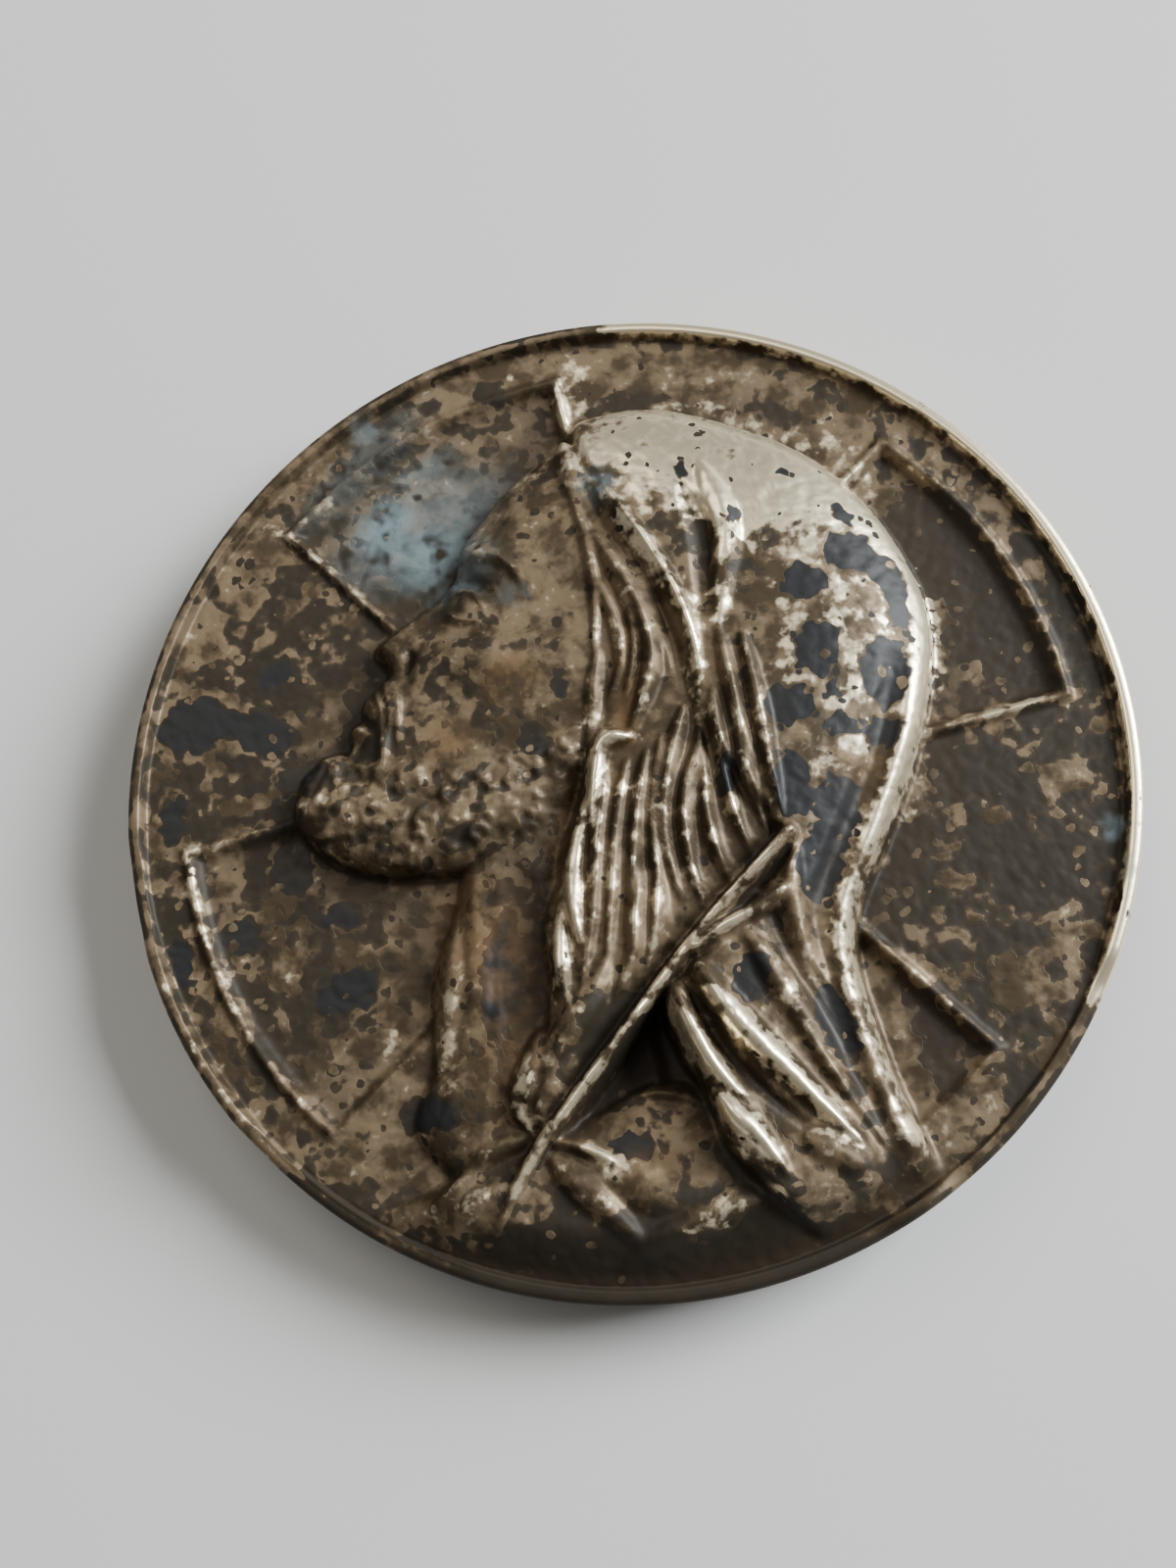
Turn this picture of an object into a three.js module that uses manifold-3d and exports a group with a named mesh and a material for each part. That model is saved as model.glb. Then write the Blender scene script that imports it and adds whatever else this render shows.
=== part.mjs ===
// A round struck medal worn as a pendant: a hooded head in profile before a cross nimbus, in high
// relief, with a raised lip round the face and a low bail soldered in the hollow of the back.
// Millimetres. The origin is the middle of the back, +Z comes out of the face, +Y is the medal's top.
import * as THREE from "three";
import { mergeVertices } from "three/addons/utils/BufferGeometryUtils.js";
import Module from "manifold-3d";

// Blank
const medalDiameter = 28;
const rimThickness = 2.7;
const lipWidth = 0.32;
const lipHeight = 0.35;
const lipSlope = 0.18;
const edgeRounding = 0.2;

// Hollow of the back and the bail soldered in it
const hollowDiameter = 23;
const hollowDepth = 1.5;
const hollowDraft = 0.4;
const bailWidth = 1.1;
const bailBar = 0.6;
const bailPost = 0.9;
const bailEyeLength = 2.6;
const bailFromTop = 6.2;
const bailBackClearance = 0.12;
const solderDepth = 0.3;

// Cross nimbus: four sunk arms with a raised border
const armTurn = THREE.MathUtils.degToRad(30.5);
const armHalfAngle = THREE.MathUtils.degToRad(21.5);
const armFlare = THREE.MathUtils.degToRad(16);
const armFromRim = 1.65;
const armSink = 0.2;
const borderWidth = 0.42;
const borderHeight = 0.24;

// Head, hair and dress: heights above the field, and how far their rounding goes in
const mantleRelief = 1.7;
const mantleRounding = 4.4;
const edgeRoll = 0.5;
const hairRelief = 1.35;
const hairRounding = 1.0;
const faceRelief = 1.35;
const faceRounding = 3.2;
const beardRelief = 1.3;
const beardRounding = 2.2;
const neckRelief = 0.7;
const neckRounding = 2.4;
const garmentRelief = 0.95;
const garmentRounding = 2.0;
const reliefRunOut = 1.6;

// Place of the head and sizes of the details on the figure
const headHeight = 14.5;
const headTilt = THREE.MathUtils.degToRad(28);
const headMiddle = { x: 0.03, y: 0.165 };
const hemWidth = 0.8;
const hemHeight = 0.3;
const lockWidth = 0.85;
const lockHeight = 0.45;
const foldWidth = 0.9;
const foldHeight = 0.5;
const cordWidth = 0.42;
const cordHeight = 0.35;
const cordLevel = 2.1;
const cordSkirt = 1.1;
const curlDiameter = 1.2;
const curlHeight = 0.2;
const featureWidth = 0.5;
const featureHeight = 0.42;

// Shares that shape the hem, the cord's foot, the pointed strokes and the joints between the forms
const hemStart = 0.3;
const hemFade = 0.25;
const hemHalf = 0.5;
const hemGroove = { place: 1.45, depth: 0.6 };
const cordReach = 1.7;
const pointed = { bend: 0.75, power: 0.6, least: 0.05 };
const swellingFall = 1.2;
const jointFade = 0.25;
const skinRise = 0.6;
const whiskerRise = 0.35;
const figureRise = 0.4;

// Fineness of the faceted solid, whose face has one more point in each sector of each wider ring
const sectors = 6;
const faceRings = 36;
const hollowSides = 48;
const outlineSteps = 5;
const strokeSteps = 6;
const curlRows = 3;
const curlsInRow = 9;

const medalRadius = medalDiameter / 2;
const fieldLevel = rimThickness - lipHeight;
const fieldRadius = medalRadius - lipWidth - lipSlope;

// Rows of numbers under the names of their columns
function table(columns, rows) {
  return rows.map((row) => Object.fromEntries(columns.map((column, i) => [column, row[i]])));
}
const place = ["x", "y"];
const profile = ["forward", "up"];
const swelling = ["part", "forward", "up", "long", "high", "turn", "rise"];
const fourPoints = ["startX", "startY", "bendX", "bendY", "turnX", "turnY", "endX", "endY"];
const stroke = ["part", ...fourPoints, "wide", "rise"];
const cord = ["part", ...fourPoints, "wide", "first", "last"];

// Outer contour of hood and mantle, and their edge over the hair, the cord and the garment, as
// shares of the medal's radius
const mantleContour = table(place, [
  [-0.1, 0.77], [0.02, 0.795], [0.145, 0.78], [0.345, 0.7], [0.465, 0.605], [0.54, 0.51],
  [0.6, 0.385], [0.622, 0.28], [0.615, 0.175], [0.58, 0.02], [0.52, -0.14], [0.46, -0.28],
  [0.45, -0.37], [0.475, -0.48], [0.52, -0.62], [0.58, -0.75], [0.68, -0.95],
]);
const mantleEdge = table(place, [
  [-0.1, 0.77], [-0.09, 0.66], [-0.02, 0.53], [0.07, 0.38], [0.13, 0.22], [0.15, 0.08],
  [0.2, -0.02], [0.28, -0.13], [0.3, -0.19], [0.2, -0.31], [0.12, -0.39], [0.08, -0.46],
  [0.11, -0.55], [0.16, -0.64], [0.2, -0.74], [0.3, -0.84], [0.45, -0.98],
]);

// Outlines of the hair, the neck and the garment, on the same shares
const hairOutline = table(place, [
  [-0.12, 0.72], [-0.02, 0.64], [0.09, 0.5], [0.17, 0.34], [0.23, 0.24], [0.3, 0.1],
  [0.34, -0.08], [0.31, -0.17], [0.14, -0.34], [-0.01, -0.53], [-0.13, -0.69], [-0.19, -0.63],
  [-0.15, -0.5], [-0.13, -0.3], [-0.1, -0.13], [-0.08, 0], [-0.06, 0.16], [-0.05, 0.3],
  [-0.08, 0.44], [-0.14, 0.58],
]);
const neckOutline = table(place, [
  [-0.3, -0.05], [-0.32, -0.24], [-0.365, -0.4], [-0.36, -0.56], [-0.385, -0.7], [-0.22, -0.8],
  [-0.06, -0.6], [-0.05, -0.3], [-0.05, 0],
]);
const garmentOutline = table(place, [
  [-0.5, -0.87], [-0.36, -0.8], [-0.26, -0.735], [-0.16, -0.695], [-0.05, -0.66], [0.02, -0.62],
  [0.1, -0.6], [0.2, -0.64], [0.36, -0.78], [0.5, -0.95], [0.1, -1.15], [-0.35, -1.08],
]);

// Head in profile, as shares of its height: forward of the ear line, and up from the chin. Then the
// upper and lower edge of the beard, from the ear to the chin
const headOutline = table(profile, [
  [0.1, 1], [0.26, 0.975], [0.37, 0.9], [0.425, 0.8], [0.447, 0.7], [0.455, 0.62],
  [0.438, 0.55], [0.46, 0.46], [0.5, 0.375], [0.497, 0.342], [0.456, 0.322], [0.458, 0.285],
  [0.468, 0.245], [0.455, 0.215], [0.463, 0.185], [0.443, 0.15], [0.455, 0.07], [0.43, 0.01],
  [0.3, 0], [0.12, 0.08], [0, 0.25], [-0.2, 0.5], [-0.1, 0.85],
]);
const beardUpper = table(profile, [
  [0.06, 0.4], [0.1, 0.32], [0.19, 0.24], [0.29, 0.185], [0.38, 0.15], [0.45, 0.142], [0.485, 0.115],
]);
const beardLower = table(profile, [
  [-0.02, 0.34], [0.02, 0.17], [0.12, 0.045], [0.26, -0.035], [0.38, -0.055], [0.47, -0.02], [0.5, 0.06],
]);

// Soft swellings (rise above 0) and hollows (below 0) of the face, as shares of the head's height,
// from the brow and the temple down over the eye and the cheek to the nose
const faceSwellings = table(swelling, [
  ["brow", 0.405, 0.615, 0.06, 0.03, -12, 0.4],
  ["outer brow", 0.33, 0.625, 0.07, 0.028, 8, 0.25],
  ["temple", 0.22, 0.6, 0.07, 0.09, 0, -0.3],
  ["hollow under the brow", 0.385, 0.55, 0.055, 0.024, 0, -0.6],
  ["inner corner of the eye", 0.415, 0.49, 0.028, 0.045, 20, -0.7],
  ["eyeball", 0.372, 0.497, 0.036, 0.03, 0, 0.5],
  ["hollow under the eye", 0.355, 0.45, 0.06, 0.018, -18, -0.25],
  ["cheekbone", 0.29, 0.42, 0.09, 0.055, -28, 0.5],
  ["hollow of the cheek", 0.27, 0.3, 0.08, 0.06, 30, -0.25],
  ["bridge of the nose", 0.458, 0.43, 0.014, 0.07, 24, 0.3],
]);
// Fine raised lines of the face
const faceLines = table(stroke, [
  ["upper lid", 0.415, 0.512, 0.393, 0.53, 0.357, 0.527, 0.31, 0.492, 0.5, 0.65],
  ["eyebrow", 0.43, 0.59, 0.39, 0.61, 0.33, 0.61, 0.26, 0.572, 0.8, 0.35],
  ["moustache", 0.47, 0.272, 0.452, 0.252, 0.426, 0.235, 0.392, 0.205, 0.7, 0.6],
  ["moustache", 0.464, 0.29, 0.44, 0.268, 0.41, 0.24, 0.378, 0.18, 0.8, 0.8],
  ["moustache", 0.455, 0.305, 0.428, 0.285, 0.395, 0.25, 0.362, 0.18, 0.8, 0.75],
  ["moustache", 0.438, 0.31, 0.41, 0.29, 0.378, 0.25, 0.345, 0.195, 0.7, 0.6],
  ["end of the moustache", 0.392, 0.215, 0.375, 0.19, 0.36, 0.16, 0.35, 0.125, 0.8, 0.5],
  ["tuft under the lip", 0.45, 0.175, 0.44, 0.16, 0.43, 0.145, 0.425, 0.125, 0.9, 0.5],
]);

// Locks of hair, then folds of the cloth (grooves below 0), as shares of the radius, with their width
// and height as shares
const hairLocks = table(stroke, [
  ["beside the hood", -0.06, 0.61, 0.04, 0.46, 0.135, 0.27, 0.165, 0.03, 1, 1],
  ["beside the hood", 0.165, 0.08, 0.155, -0.02, 0.14, -0.11, 0.15, -0.2, 0.7, 0.6],
  ["over the ear", -0.05, 0.49, 0.035, 0.34, 0.07, 0.2, 0.02, 0.035, 1, 1.1],
  ["over the ear", 0.035, 0.05, -0.03, 0.04, -0.045, -0.05, -0.05, -0.17, 0.85, 1],
  ["over the ear", -0.035, 0.24, -0.045, 0.15, -0.05, 0.07, -0.07, -0.04, 0.65, 0.5],
  ["middle", 0.135, 0.12, 0.1, -0.02, 0.09, -0.14, 0.12, -0.27, 0.75, 0.8],
  ["middle", 0.165, 0.05, 0.13, -0.07, 0.135, -0.18, 0.165, -0.29, 0.65, 0.9],
  ["middle", 0.09, 0.06, 0.07, -0.08, 0.075, -0.2, 0.1, -0.33, 0.65, 0.7],
  ["middle", 0.06, 0.03, 0.04, -0.1, 0.03, -0.22, 0.03, -0.36, 0.75, 0.85],
  ["middle", 0.02, 0.01, 0, -0.13, -0.01, -0.26, -0.02, -0.42, 0.7, 0.7],
  ["middle", -0.02, -0.01, -0.035, -0.15, -0.045, -0.29, -0.07, -0.47, 0.7, 0.65],
  ["front", -0.06, -0.06, -0.09, -0.18, -0.085, -0.27, -0.06, -0.37, 0.95, 1.1],
  ["front", -0.09, -0.18, -0.12, -0.31, -0.11, -0.4, -0.08, -0.49, 0.85, 0.95],
  ["middle", 0.045, -0.2, 0.035, -0.3, 0.03, -0.38, -0.01, -0.46, 0.75, 0.8],
  ["end", -0.02, -0.38, -0.06, -0.47, -0.11, -0.53, -0.165, -0.6, 1.2, 0.7],
  ["end", -0.14, -0.5, -0.175, -0.59, -0.185, -0.65, -0.15, -0.71, 0.9, 1.2],
  ["behind", 0.2, 0.26, 0.225, 0.14, 0.24, 0.06, 0.27, -0.03, 0.65, 0.8],
  ["behind", 0.245, 0.26, 0.275, 0.1, 0.29, 0, 0.315, -0.12, 0.7, 0.85],
  ["behind", 0.185, 0.14, 0.2, 0.01, 0.22, -0.09, 0.26, -0.2, 0.65, 0.75],
]);
const clothFolds = table(stroke, [
  ["hood", 0.17, 0.63, 0.215, 0.5, 0.215, 0.39, 0.2, 0.25, 1.1, 0.5],
  ["groove of the hood", 0.13, 0.58, 0.17, 0.47, 0.175, 0.38, 0.17, 0.26, 0.9, -0.4],
  ["mantle", 0.09, -0.41, 0.145, -0.52, 0.185, -0.59, 0.26, -0.67, 0.75, 0.8],
  ["mantle", 0.14, -0.38, 0.205, -0.5, 0.31, -0.61, 0.45, -0.73, 1, 1.1],
  ["groove of the mantle", 0.12, -0.42, 0.175, -0.53, 0.24, -0.61, 0.35, -0.7, 0.6, -0.8],
  ["mantle", 0.16, -0.62, 0.215, -0.67, 0.25, -0.7, 0.31, -0.78, 1.2, 0.9],
  ["mantle", 0.33, -0.7, 0.38, -0.725, 0.43, -0.755, 0.49, -0.82, 1.1, 0.6],
  ["garment", -0.13, -0.73, -0.07, -0.785, -0.02, -0.83, 0.06, -0.91, 1.1, 0.7],
  ["garment", 0, -0.94, 0.13, -0.86, 0.19, -0.825, 0.31, -0.8, 1.3, 0.65],
  ["garment", -0.06, -0.73, 0.02, -0.78, 0.1, -0.81, 0.2, -0.79, 1.4, 0.45],
  ["mantle", 0.335, -0.17, 0.33, -0.27, 0.355, -0.36, 0.39, -0.44, 0.7, 0.6],
  ["mantle", 0.24, -0.33, 0.3, -0.43, 0.35, -0.5, 0.42, -0.59, 0.9, 0.6],
  ["mantle", 0.31, -0.46, 0.38, -0.57, 0.43, -0.64, 0.49, -0.74, 0.6, 0.6],
  ["groove of the mantle", 0.27, -0.24, 0.3, -0.34, 0.34, -0.42, 0.4, -0.53, 0.6, -0.5],
  ["garment", -0.15, -0.705, -0.1, -0.71, -0.04, -0.73, 0.02, -0.77, 0.6, 0.9],
  ["garment", -0.14, -0.7, -0.22, -0.72, -0.29, -0.77, -0.38, -0.87, 0.7, 0.6],
  ["garment", -0.2, -0.78, -0.26, -0.82, -0.31, -0.87, -0.36, -0.95, 0.9, 0.4],
  ["collar", -0.04, -0.65, 0.03, -0.62, 0.11, -0.625, 0.19, -0.66, 0.5, 0.5],
]);
// Cords, with the level of the crest at both ends as shares
const cords = table(cord, [
  ["over the hair", 0.325, -0.15, 0.15, -0.34, 0, -0.53, -0.13, -0.7, 1, 1, 0.68],
  ["end on the chest", -0.12, -0.68, -0.175, -0.77, -0.21, -0.84, -0.25, -0.93, 1, 0.68, 0.42],
  ["short cord", 0.31, -0.26, 0.25, -0.3, 0.2, -0.325, 0.14, -0.36, 1.1, 0.93, 0.93],
]);

// Rise of each nimbus arm's border, from the upper right arm on to the left: the side before the
// arm, the outer arc and the side after it
const armBorders = table(["before", "arc", "after"], [
  [1.0, 0.85, 0.9], [1.0, 0.35, 1.15], [0.55, 0.9, 0.2], [0.2, 0.35, 0.9],
]);

// Where the lip is rubbed down, as degrees round from +X and the share of its height that is gone
const lipWear = table(["from", "to", "share"], [
  [188, 199, 0.5], [224, 252, 0.85], [252, 300, 0.55], [306, 336, 0.6],
]);
const wearFade = 5;

const clamp01 = (value) => Math.min(Math.max(value, 0), 1);
const smooth = (value) => clamp01(value) ** 2 * (3 - 2 * clamp01(value));
const domed = (value) => Math.sqrt(1 - (1 - clamp01(value)) ** 2);
const ridge = (value) => 1 - clamp01(Math.abs(value)) ** 2;
const softRidge = (value) => ridge(value) ** 2;
const mixed = (first, last, share) => first + (last - first) * share;

function onMedal(row) {
  return new THREE.Vector3(row.x * medalRadius, row.y * medalRadius, 0);
}

function onHead(row) {
  const forward = row.forward * headHeight;
  const up = (row.up - 0.5) * headHeight;
  return new THREE.Vector3(
    headMiddle.x * medalRadius - forward * Math.cos(headTilt) + up * Math.sin(headTilt),
    headMiddle.y * medalRadius + forward * Math.sin(headTilt) + up * Math.cos(headTilt),
    0,
  );
}

function onHeadShares(x, y) {
  const east = x - headMiddle.x * medalRadius;
  const north = y - headMiddle.y * medalRadius;
  return {
    forward: (-east * Math.cos(headTilt) + north * Math.sin(headTilt)) / headHeight,
    up: (east * Math.sin(headTilt) + north * Math.cos(headTilt)) / headHeight + 0.5,
  };
}

function closedLoop(points) {
  const curve = new THREE.CatmullRomCurve3(points, true, "catmullrom", 0.5);
  return curve.getPoints(points.length * outlineSteps);
}

function openLine(points) {
  const curve = new THREE.CatmullRomCurve3(points, false, "catmullrom", 0.5);
  return curve.getPoints((points.length - 1) * strokeSteps);
}

// The four points of a stroke's row, put in their place
function strokePoints(row, placed) {
  return [
    placed(row.startX, row.startY),
    placed(row.bendX, row.bendY),
    placed(row.turnX, row.turnY),
    placed(row.endX, row.endY),
  ];
}

// Distance from a point to a line of points, and how far along the line it is nearest
function nearest(line, x, y) {
  let closest = Infinity;
  let along = 0;
  for (let i = 0; i + 1 < line.length; i++) {
    const dx = line[i + 1].x - line[i].x;
    const dy = line[i + 1].y - line[i].y;
    const step = clamp01(((x - line[i].x) * dx + (y - line[i].y) * dy) / (dx * dx + dy * dy || 1));
    const east = x - line[i].x - step * dx;
    const north = y - line[i].y - step * dy;
    const square = east * east + north * north;
    if (square < closest) {
      closest = square;
      along = (i + step) / (line.length - 1);
    }
  }
  return { distance: Math.sqrt(closest), along };
}

function isInside(loop, x, y) {
  let inside = false;
  for (let i = 0; i + 1 < loop.length; i++) {
    const a = loop[i];
    const b = loop[i + 1];
    if (a.y > y !== b.y > y && x < a.x + ((y - a.y) / (b.y - a.y)) * (b.x - a.x)) {
      inside = !inside;
    }
  }
  return inside;
}

// A band between two lines that run the same way, as a closed loop
function bandLoop(first, second) {
  return [...first, ...second.slice().reverse(), first[0]];
}

const contourLine = openLine(mantleContour.map(onMedal));
const edgeLine = openLine(mantleEdge.map(onMedal));
const mantleLoop = bandLoop(contourLine, edgeLine);
const beardTop = openLine(beardUpper.map(onHead));
const beardFoot = openLine(beardLower.map(onHead));

// The box outside which a line counts for nothing
function boxRound(line, reach) {
  return new THREE.Box2().setFromPoints(line).expandByScalar(reach);
}

function form(loop, relief, rounding) {
  return { loop, box: boxRound(loop, 0), relief, rounding };
}
const hair = form(closedLoop(hairOutline.map(onMedal)), hairRelief, hairRounding);
const neck = form(closedLoop(neckOutline.map(onMedal)), neckRelief, neckRounding);
const garment = form(closedLoop(garmentOutline.map(onMedal)), garmentRelief, garmentRounding);
const head = form(closedLoop(headOutline.map(onHead)), faceRelief, faceRounding);
const beard = form(bandLoop(beardTop, beardFoot), beardRelief, beardRounding);

function strokes(rows, placed, width, height) {
  return rows.map((row) => {
    const line = openLine(strokePoints(row, placed));
    const halfWidth = (row.wide * width) / 2;
    return { line, halfWidth, box: boxRound(line, halfWidth), rise: row.rise * height };
  });
}
const placeOnMedal = (x, y) => onMedal({ x, y });
const placeOnHead = (forward, up) => onHead({ forward, up });
const lockStrokes = strokes(hairLocks, placeOnMedal, lockWidth, lockHeight);
const foldStrokes = strokes(clothFolds, placeOnMedal, foldWidth, foldHeight);
const faceStrokes = strokes(faceLines, placeOnHead, featureWidth, featureHeight);
const cordLines = cords.map((row) => ({
  line: openLine(strokePoints(row, placeOnMedal)),
  halfWidth: (row.wide * cordWidth) / 2,
  first: row.first * cordLevel,
  last: row.last * cordLevel,
}));

// Curls of the short beard, in rows between its upper and lower edge
function beardCurls() {
  const curls = [];
  for (let row = 0; row < curlRows; row++) {
    for (let i = 0; i < curlsInRow; i++) {
      const along = (i + (1 + (row % 2)) / 2) / curlsInRow;
      const step = Math.min(Math.round(along * (beardTop.length - 1)), beardTop.length - 1);
      const down = (row + 1 / 2) / curlRows;
      curls.push(beardTop[step].clone().lerp(beardFoot[step], down));
    }
  }
  return curls;
}
const curls = beardCurls();

function formDepth({ loop, box }, x, y) {
  const inside = box.containsPoint({ x, y }) && isInside(loop, x, y);
  return inside ? nearest(loop, x, y).distance : 0;
}

function formHeight(shape, x, y) {
  return shape.relief * domed(formDepth(shape, x, y) / shape.rounding);
}

// Hood and mantle: domed from their contour, with a rolled edge in front and a raised hem
function mantleHeight(x, y) {
  if (!isInside(mantleLoop, x, y)) {
    return 0;
  }
  const fromContour = nearest(contourLine, x, y).distance;
  const fromEdge = nearest(edgeLine, x, y).distance;
  const start = smooth((hemStart * medalRadius - y) / (hemFade * medalRadius));
  const crest = softRidge((fromContour / hemWidth - hemHalf) / hemHalf);
  const groove = hemGroove.depth * ridge((fromContour / hemWidth - hemGroove.place) / hemHalf);
  const height = mantleRelief * domed(fromContour / mantleRounding) + hemHeight * start * (crest - groove);
  return height * domed(fromEdge / edgeRoll);
}

// The tallest and the deepest of a group of pointed strokes together
function strokeHeight(group, x, y) {
  let raised = 0;
  let cut = 0;
  for (const { line, halfWidth, rise } of group.filter(({ box }) => box.containsPoint({ x, y }))) {
    const { distance, along } = nearest(line, x, y);
    const taper = Math.max(Math.sin(Math.PI * along ** pointed.bend), 0) ** pointed.power;
    const height = rise * ridge(distance / (halfWidth * Math.max(taper, pointed.least))) * taper;
    raised = Math.max(raised, height);
    cut = Math.min(cut, height);
  }
  return raised + cut;
}

// Cords as round ridges that keep their own level over what lies below them
function cordTop(x, y) {
  let top = 0;
  for (const { line, halfWidth, first, last } of cordLines) {
    const { distance, along } = nearest(line, x, y);
    const share = distance / halfWidth;
    const drop = cordHeight * (1 - domed(1 - share)) + cordSkirt * Math.max(share - 1, 0);
    if (share < cordReach) {
      top = Math.max(top, mixed(first, last, along) - drop);
    }
  }
  return top;
}

function armHeight(x, y) {
  const outer = medalRadius - armFromRim;
  const quarter = Math.PI / 2;
  const angle = Math.atan2(y, x) - armTurn;
  const arm = Math.round(angle / quarter);
  const offset = angle - quarter * arm;
  const radius = Math.hypot(x, y);
  const halfWidth = outer * Math.sin(armHalfAngle)
    + (radius * Math.cos(offset) - outer * Math.cos(armHalfAngle)) * Math.tan(armFlare);
  const before = (halfWidth + radius * Math.sin(offset)) * Math.cos(armFlare);
  const after = (halfWidth - radius * Math.sin(offset)) * Math.cos(armFlare);
  const arc = outer - radius;
  const depth = Math.min(before, arc, after);
  const borders = armBorders[(arm + armBorders.length) % armBorders.length];
  const beside = before < after ? borders.before : borders.after;
  const rise = borderHeight * (depth === arc ? borders.arc : beside);
  return rise * ridge(depth / (borderWidth / 2)) - armSink * smooth(depth / borderWidth);
}

function faceModelling(x, y) {
  const here = onHeadShares(x, y);
  let height = 0;
  for (const row of faceSwellings) {
    const turn = THREE.MathUtils.degToRad(row.turn);
    const forward = here.forward - row.forward;
    const up = here.up - row.up;
    const u = (forward * Math.cos(turn) + up * Math.sin(turn)) / row.long;
    const v = (up * Math.cos(turn) - forward * Math.sin(turn)) / row.high;
    height += featureHeight * row.rise * Math.exp(-swellingFall * (u * u + v * v));
  }
  return height + strokeHeight(faceStrokes, x, y);
}

function curlsHeight(x, y) {
  let share = 1;
  for (const curl of curls) {
    share = Math.min(share, Math.hypot(x - curl.x, y - curl.y) / (curlDiameter / 2));
  }
  return curlHeight * ridge(share);
}

function lipLeft(angle) {
  const degrees = (THREE.MathUtils.radToDeg(angle) + 360) % 360;
  let gone = 0;
  for (const { from, to, share } of lipWear) {
    const inside = Math.min(degrees - from, to - degrees);
    gone = Math.max(gone, share * smooth(inside / wearFade + 0.5));
  }
  return 1 - gone;
}

// Height of the face above the field, without the lip
function faceHeight(x, y) {
  const headTop = formHeight(head, x, y);
  let figure = Math.max(
    mantleHeight(x, y),
    formHeight(hair, x, y),
    formHeight(neck, x, y),
    formHeight(garment, x, y),
  );
  const skin = smooth((headTop - figure) / jointFade + 1 / 2) * smooth(headTop / skinRise);
  figure = Math.max(figure, headTop) + (skin > 0 ? skin * faceModelling(x, y) : 0);
  const inBeard = formDepth(beard, x, y);
  figure = Math.max(figure, beard.relief * domed(inBeard / beard.rounding));
  figure += smooth(inBeard / whiskerRise) * curlsHeight(x, y);
  const raised = smooth(figure / figureRise);
  figure += raised * (strokeHeight(lockStrokes, x, y) + strokeHeight(foldStrokes, x, y));
  figure = Math.max(figure, cordTop(x, y));
  const runOut = smooth((medalRadius - lipWidth - Math.hypot(x, y)) / reliefRunOut);
  return armHeight(x, y) * (1 - raised) + figure * runOut;
}

// The height softened over half a facet, so that steep edges don't turn into teeth
function softHeight(x, y) {
  const reach = fieldRadius / faceRings / 2;
  let sum = 2 * faceHeight(x, y);
  for (let i = 0; i < sectors; i++) {
    const angle = (2 * Math.PI * i) / sectors;
    sum += faceHeight(x + reach * Math.cos(angle), y + reach * Math.sin(angle));
  }
  return sum / (sectors + 2);
}

// The front and the edge as rings from the middle outwards, then down the edge to the back
function ringTable() {
  const rings = [];
  for (let k = 1; k <= faceRings; k++) {
    rings.push({ radius: (fieldRadius * k) / faceRings, points: sectors * k, level: null, lip: 0 });
  }
  const points = sectors * faceRings;
  rings.push({ radius: medalRadius - lipWidth, points, level: fieldLevel, lip: 1 });
  rings.push({ radius: medalRadius - edgeRounding / 2, points, level: fieldLevel, lip: 1 });
  rings.push({ radius: medalRadius, points, level: fieldLevel - edgeRounding, lip: 1 });
  rings.push({ radius: medalRadius, points, level: edgeRounding, lip: 0 });
  rings.push({ radius: medalRadius - edgeRounding, points, level: 0, lip: 0 });
  return rings;
}

function frontAndEdge() {
  const positions = [0, 0, fieldLevel + softHeight(0, 0)];
  const triangles = [];
  let start = 0;
  let before = 1;
  for (const { radius, points, level, lip } of ringTable()) {
    const next = positions.length / 3;
    for (let i = 0; i < points; i++) {
      const angle = (2 * Math.PI * i) / points;
      const x = radius * Math.cos(angle);
      const y = radius * Math.sin(angle);
      const z = level === null
        ? fieldLevel + softHeight(x, y)
        : level + lip * lipHeight * lipLeft(angle);
      positions.push(x, y, z);
    }
    joinRings(triangles, start, before, next, points);
    start = next;
    before = points;
  }
  return { positions, triangles, lastRing: start };
}

// Triangles between a ring and the next, which has as many points or one more in each sector
function joinRings(triangles, inner, innerPoints, outer, outerPoints) {
  const grown = outerPoints > innerPoints ? 1 : 0;
  const perOuter = outerPoints / sectors;
  const perInner = perOuter - grown;
  for (let sector = 0; sector < sectors; sector++) {
    for (let i = 0; i < perOuter; i++) {
      const a = outer + sector * perOuter + i;
      const b = outer + ((sector * perOuter + i + 1) % outerPoints);
      const c = inner + ((sector * perInner + i) % innerPoints);
      const d = inner + ((sector * perInner + i + 1) % innerPoints);
      triangles.push(a, b, c);
      if (i + grown < perOuter) {
        triangles.push(b, d, c);
      }
    }
  }
}

function circlePoints(radius, sides) {
  const points = [];
  for (let i = 0; i < sides; i++) {
    const angle = (2 * Math.PI * i) / sides;
    points.push(new THREE.Vector2(radius * Math.cos(angle), radius * Math.sin(angle)));
  }
  return points;
}

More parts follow.
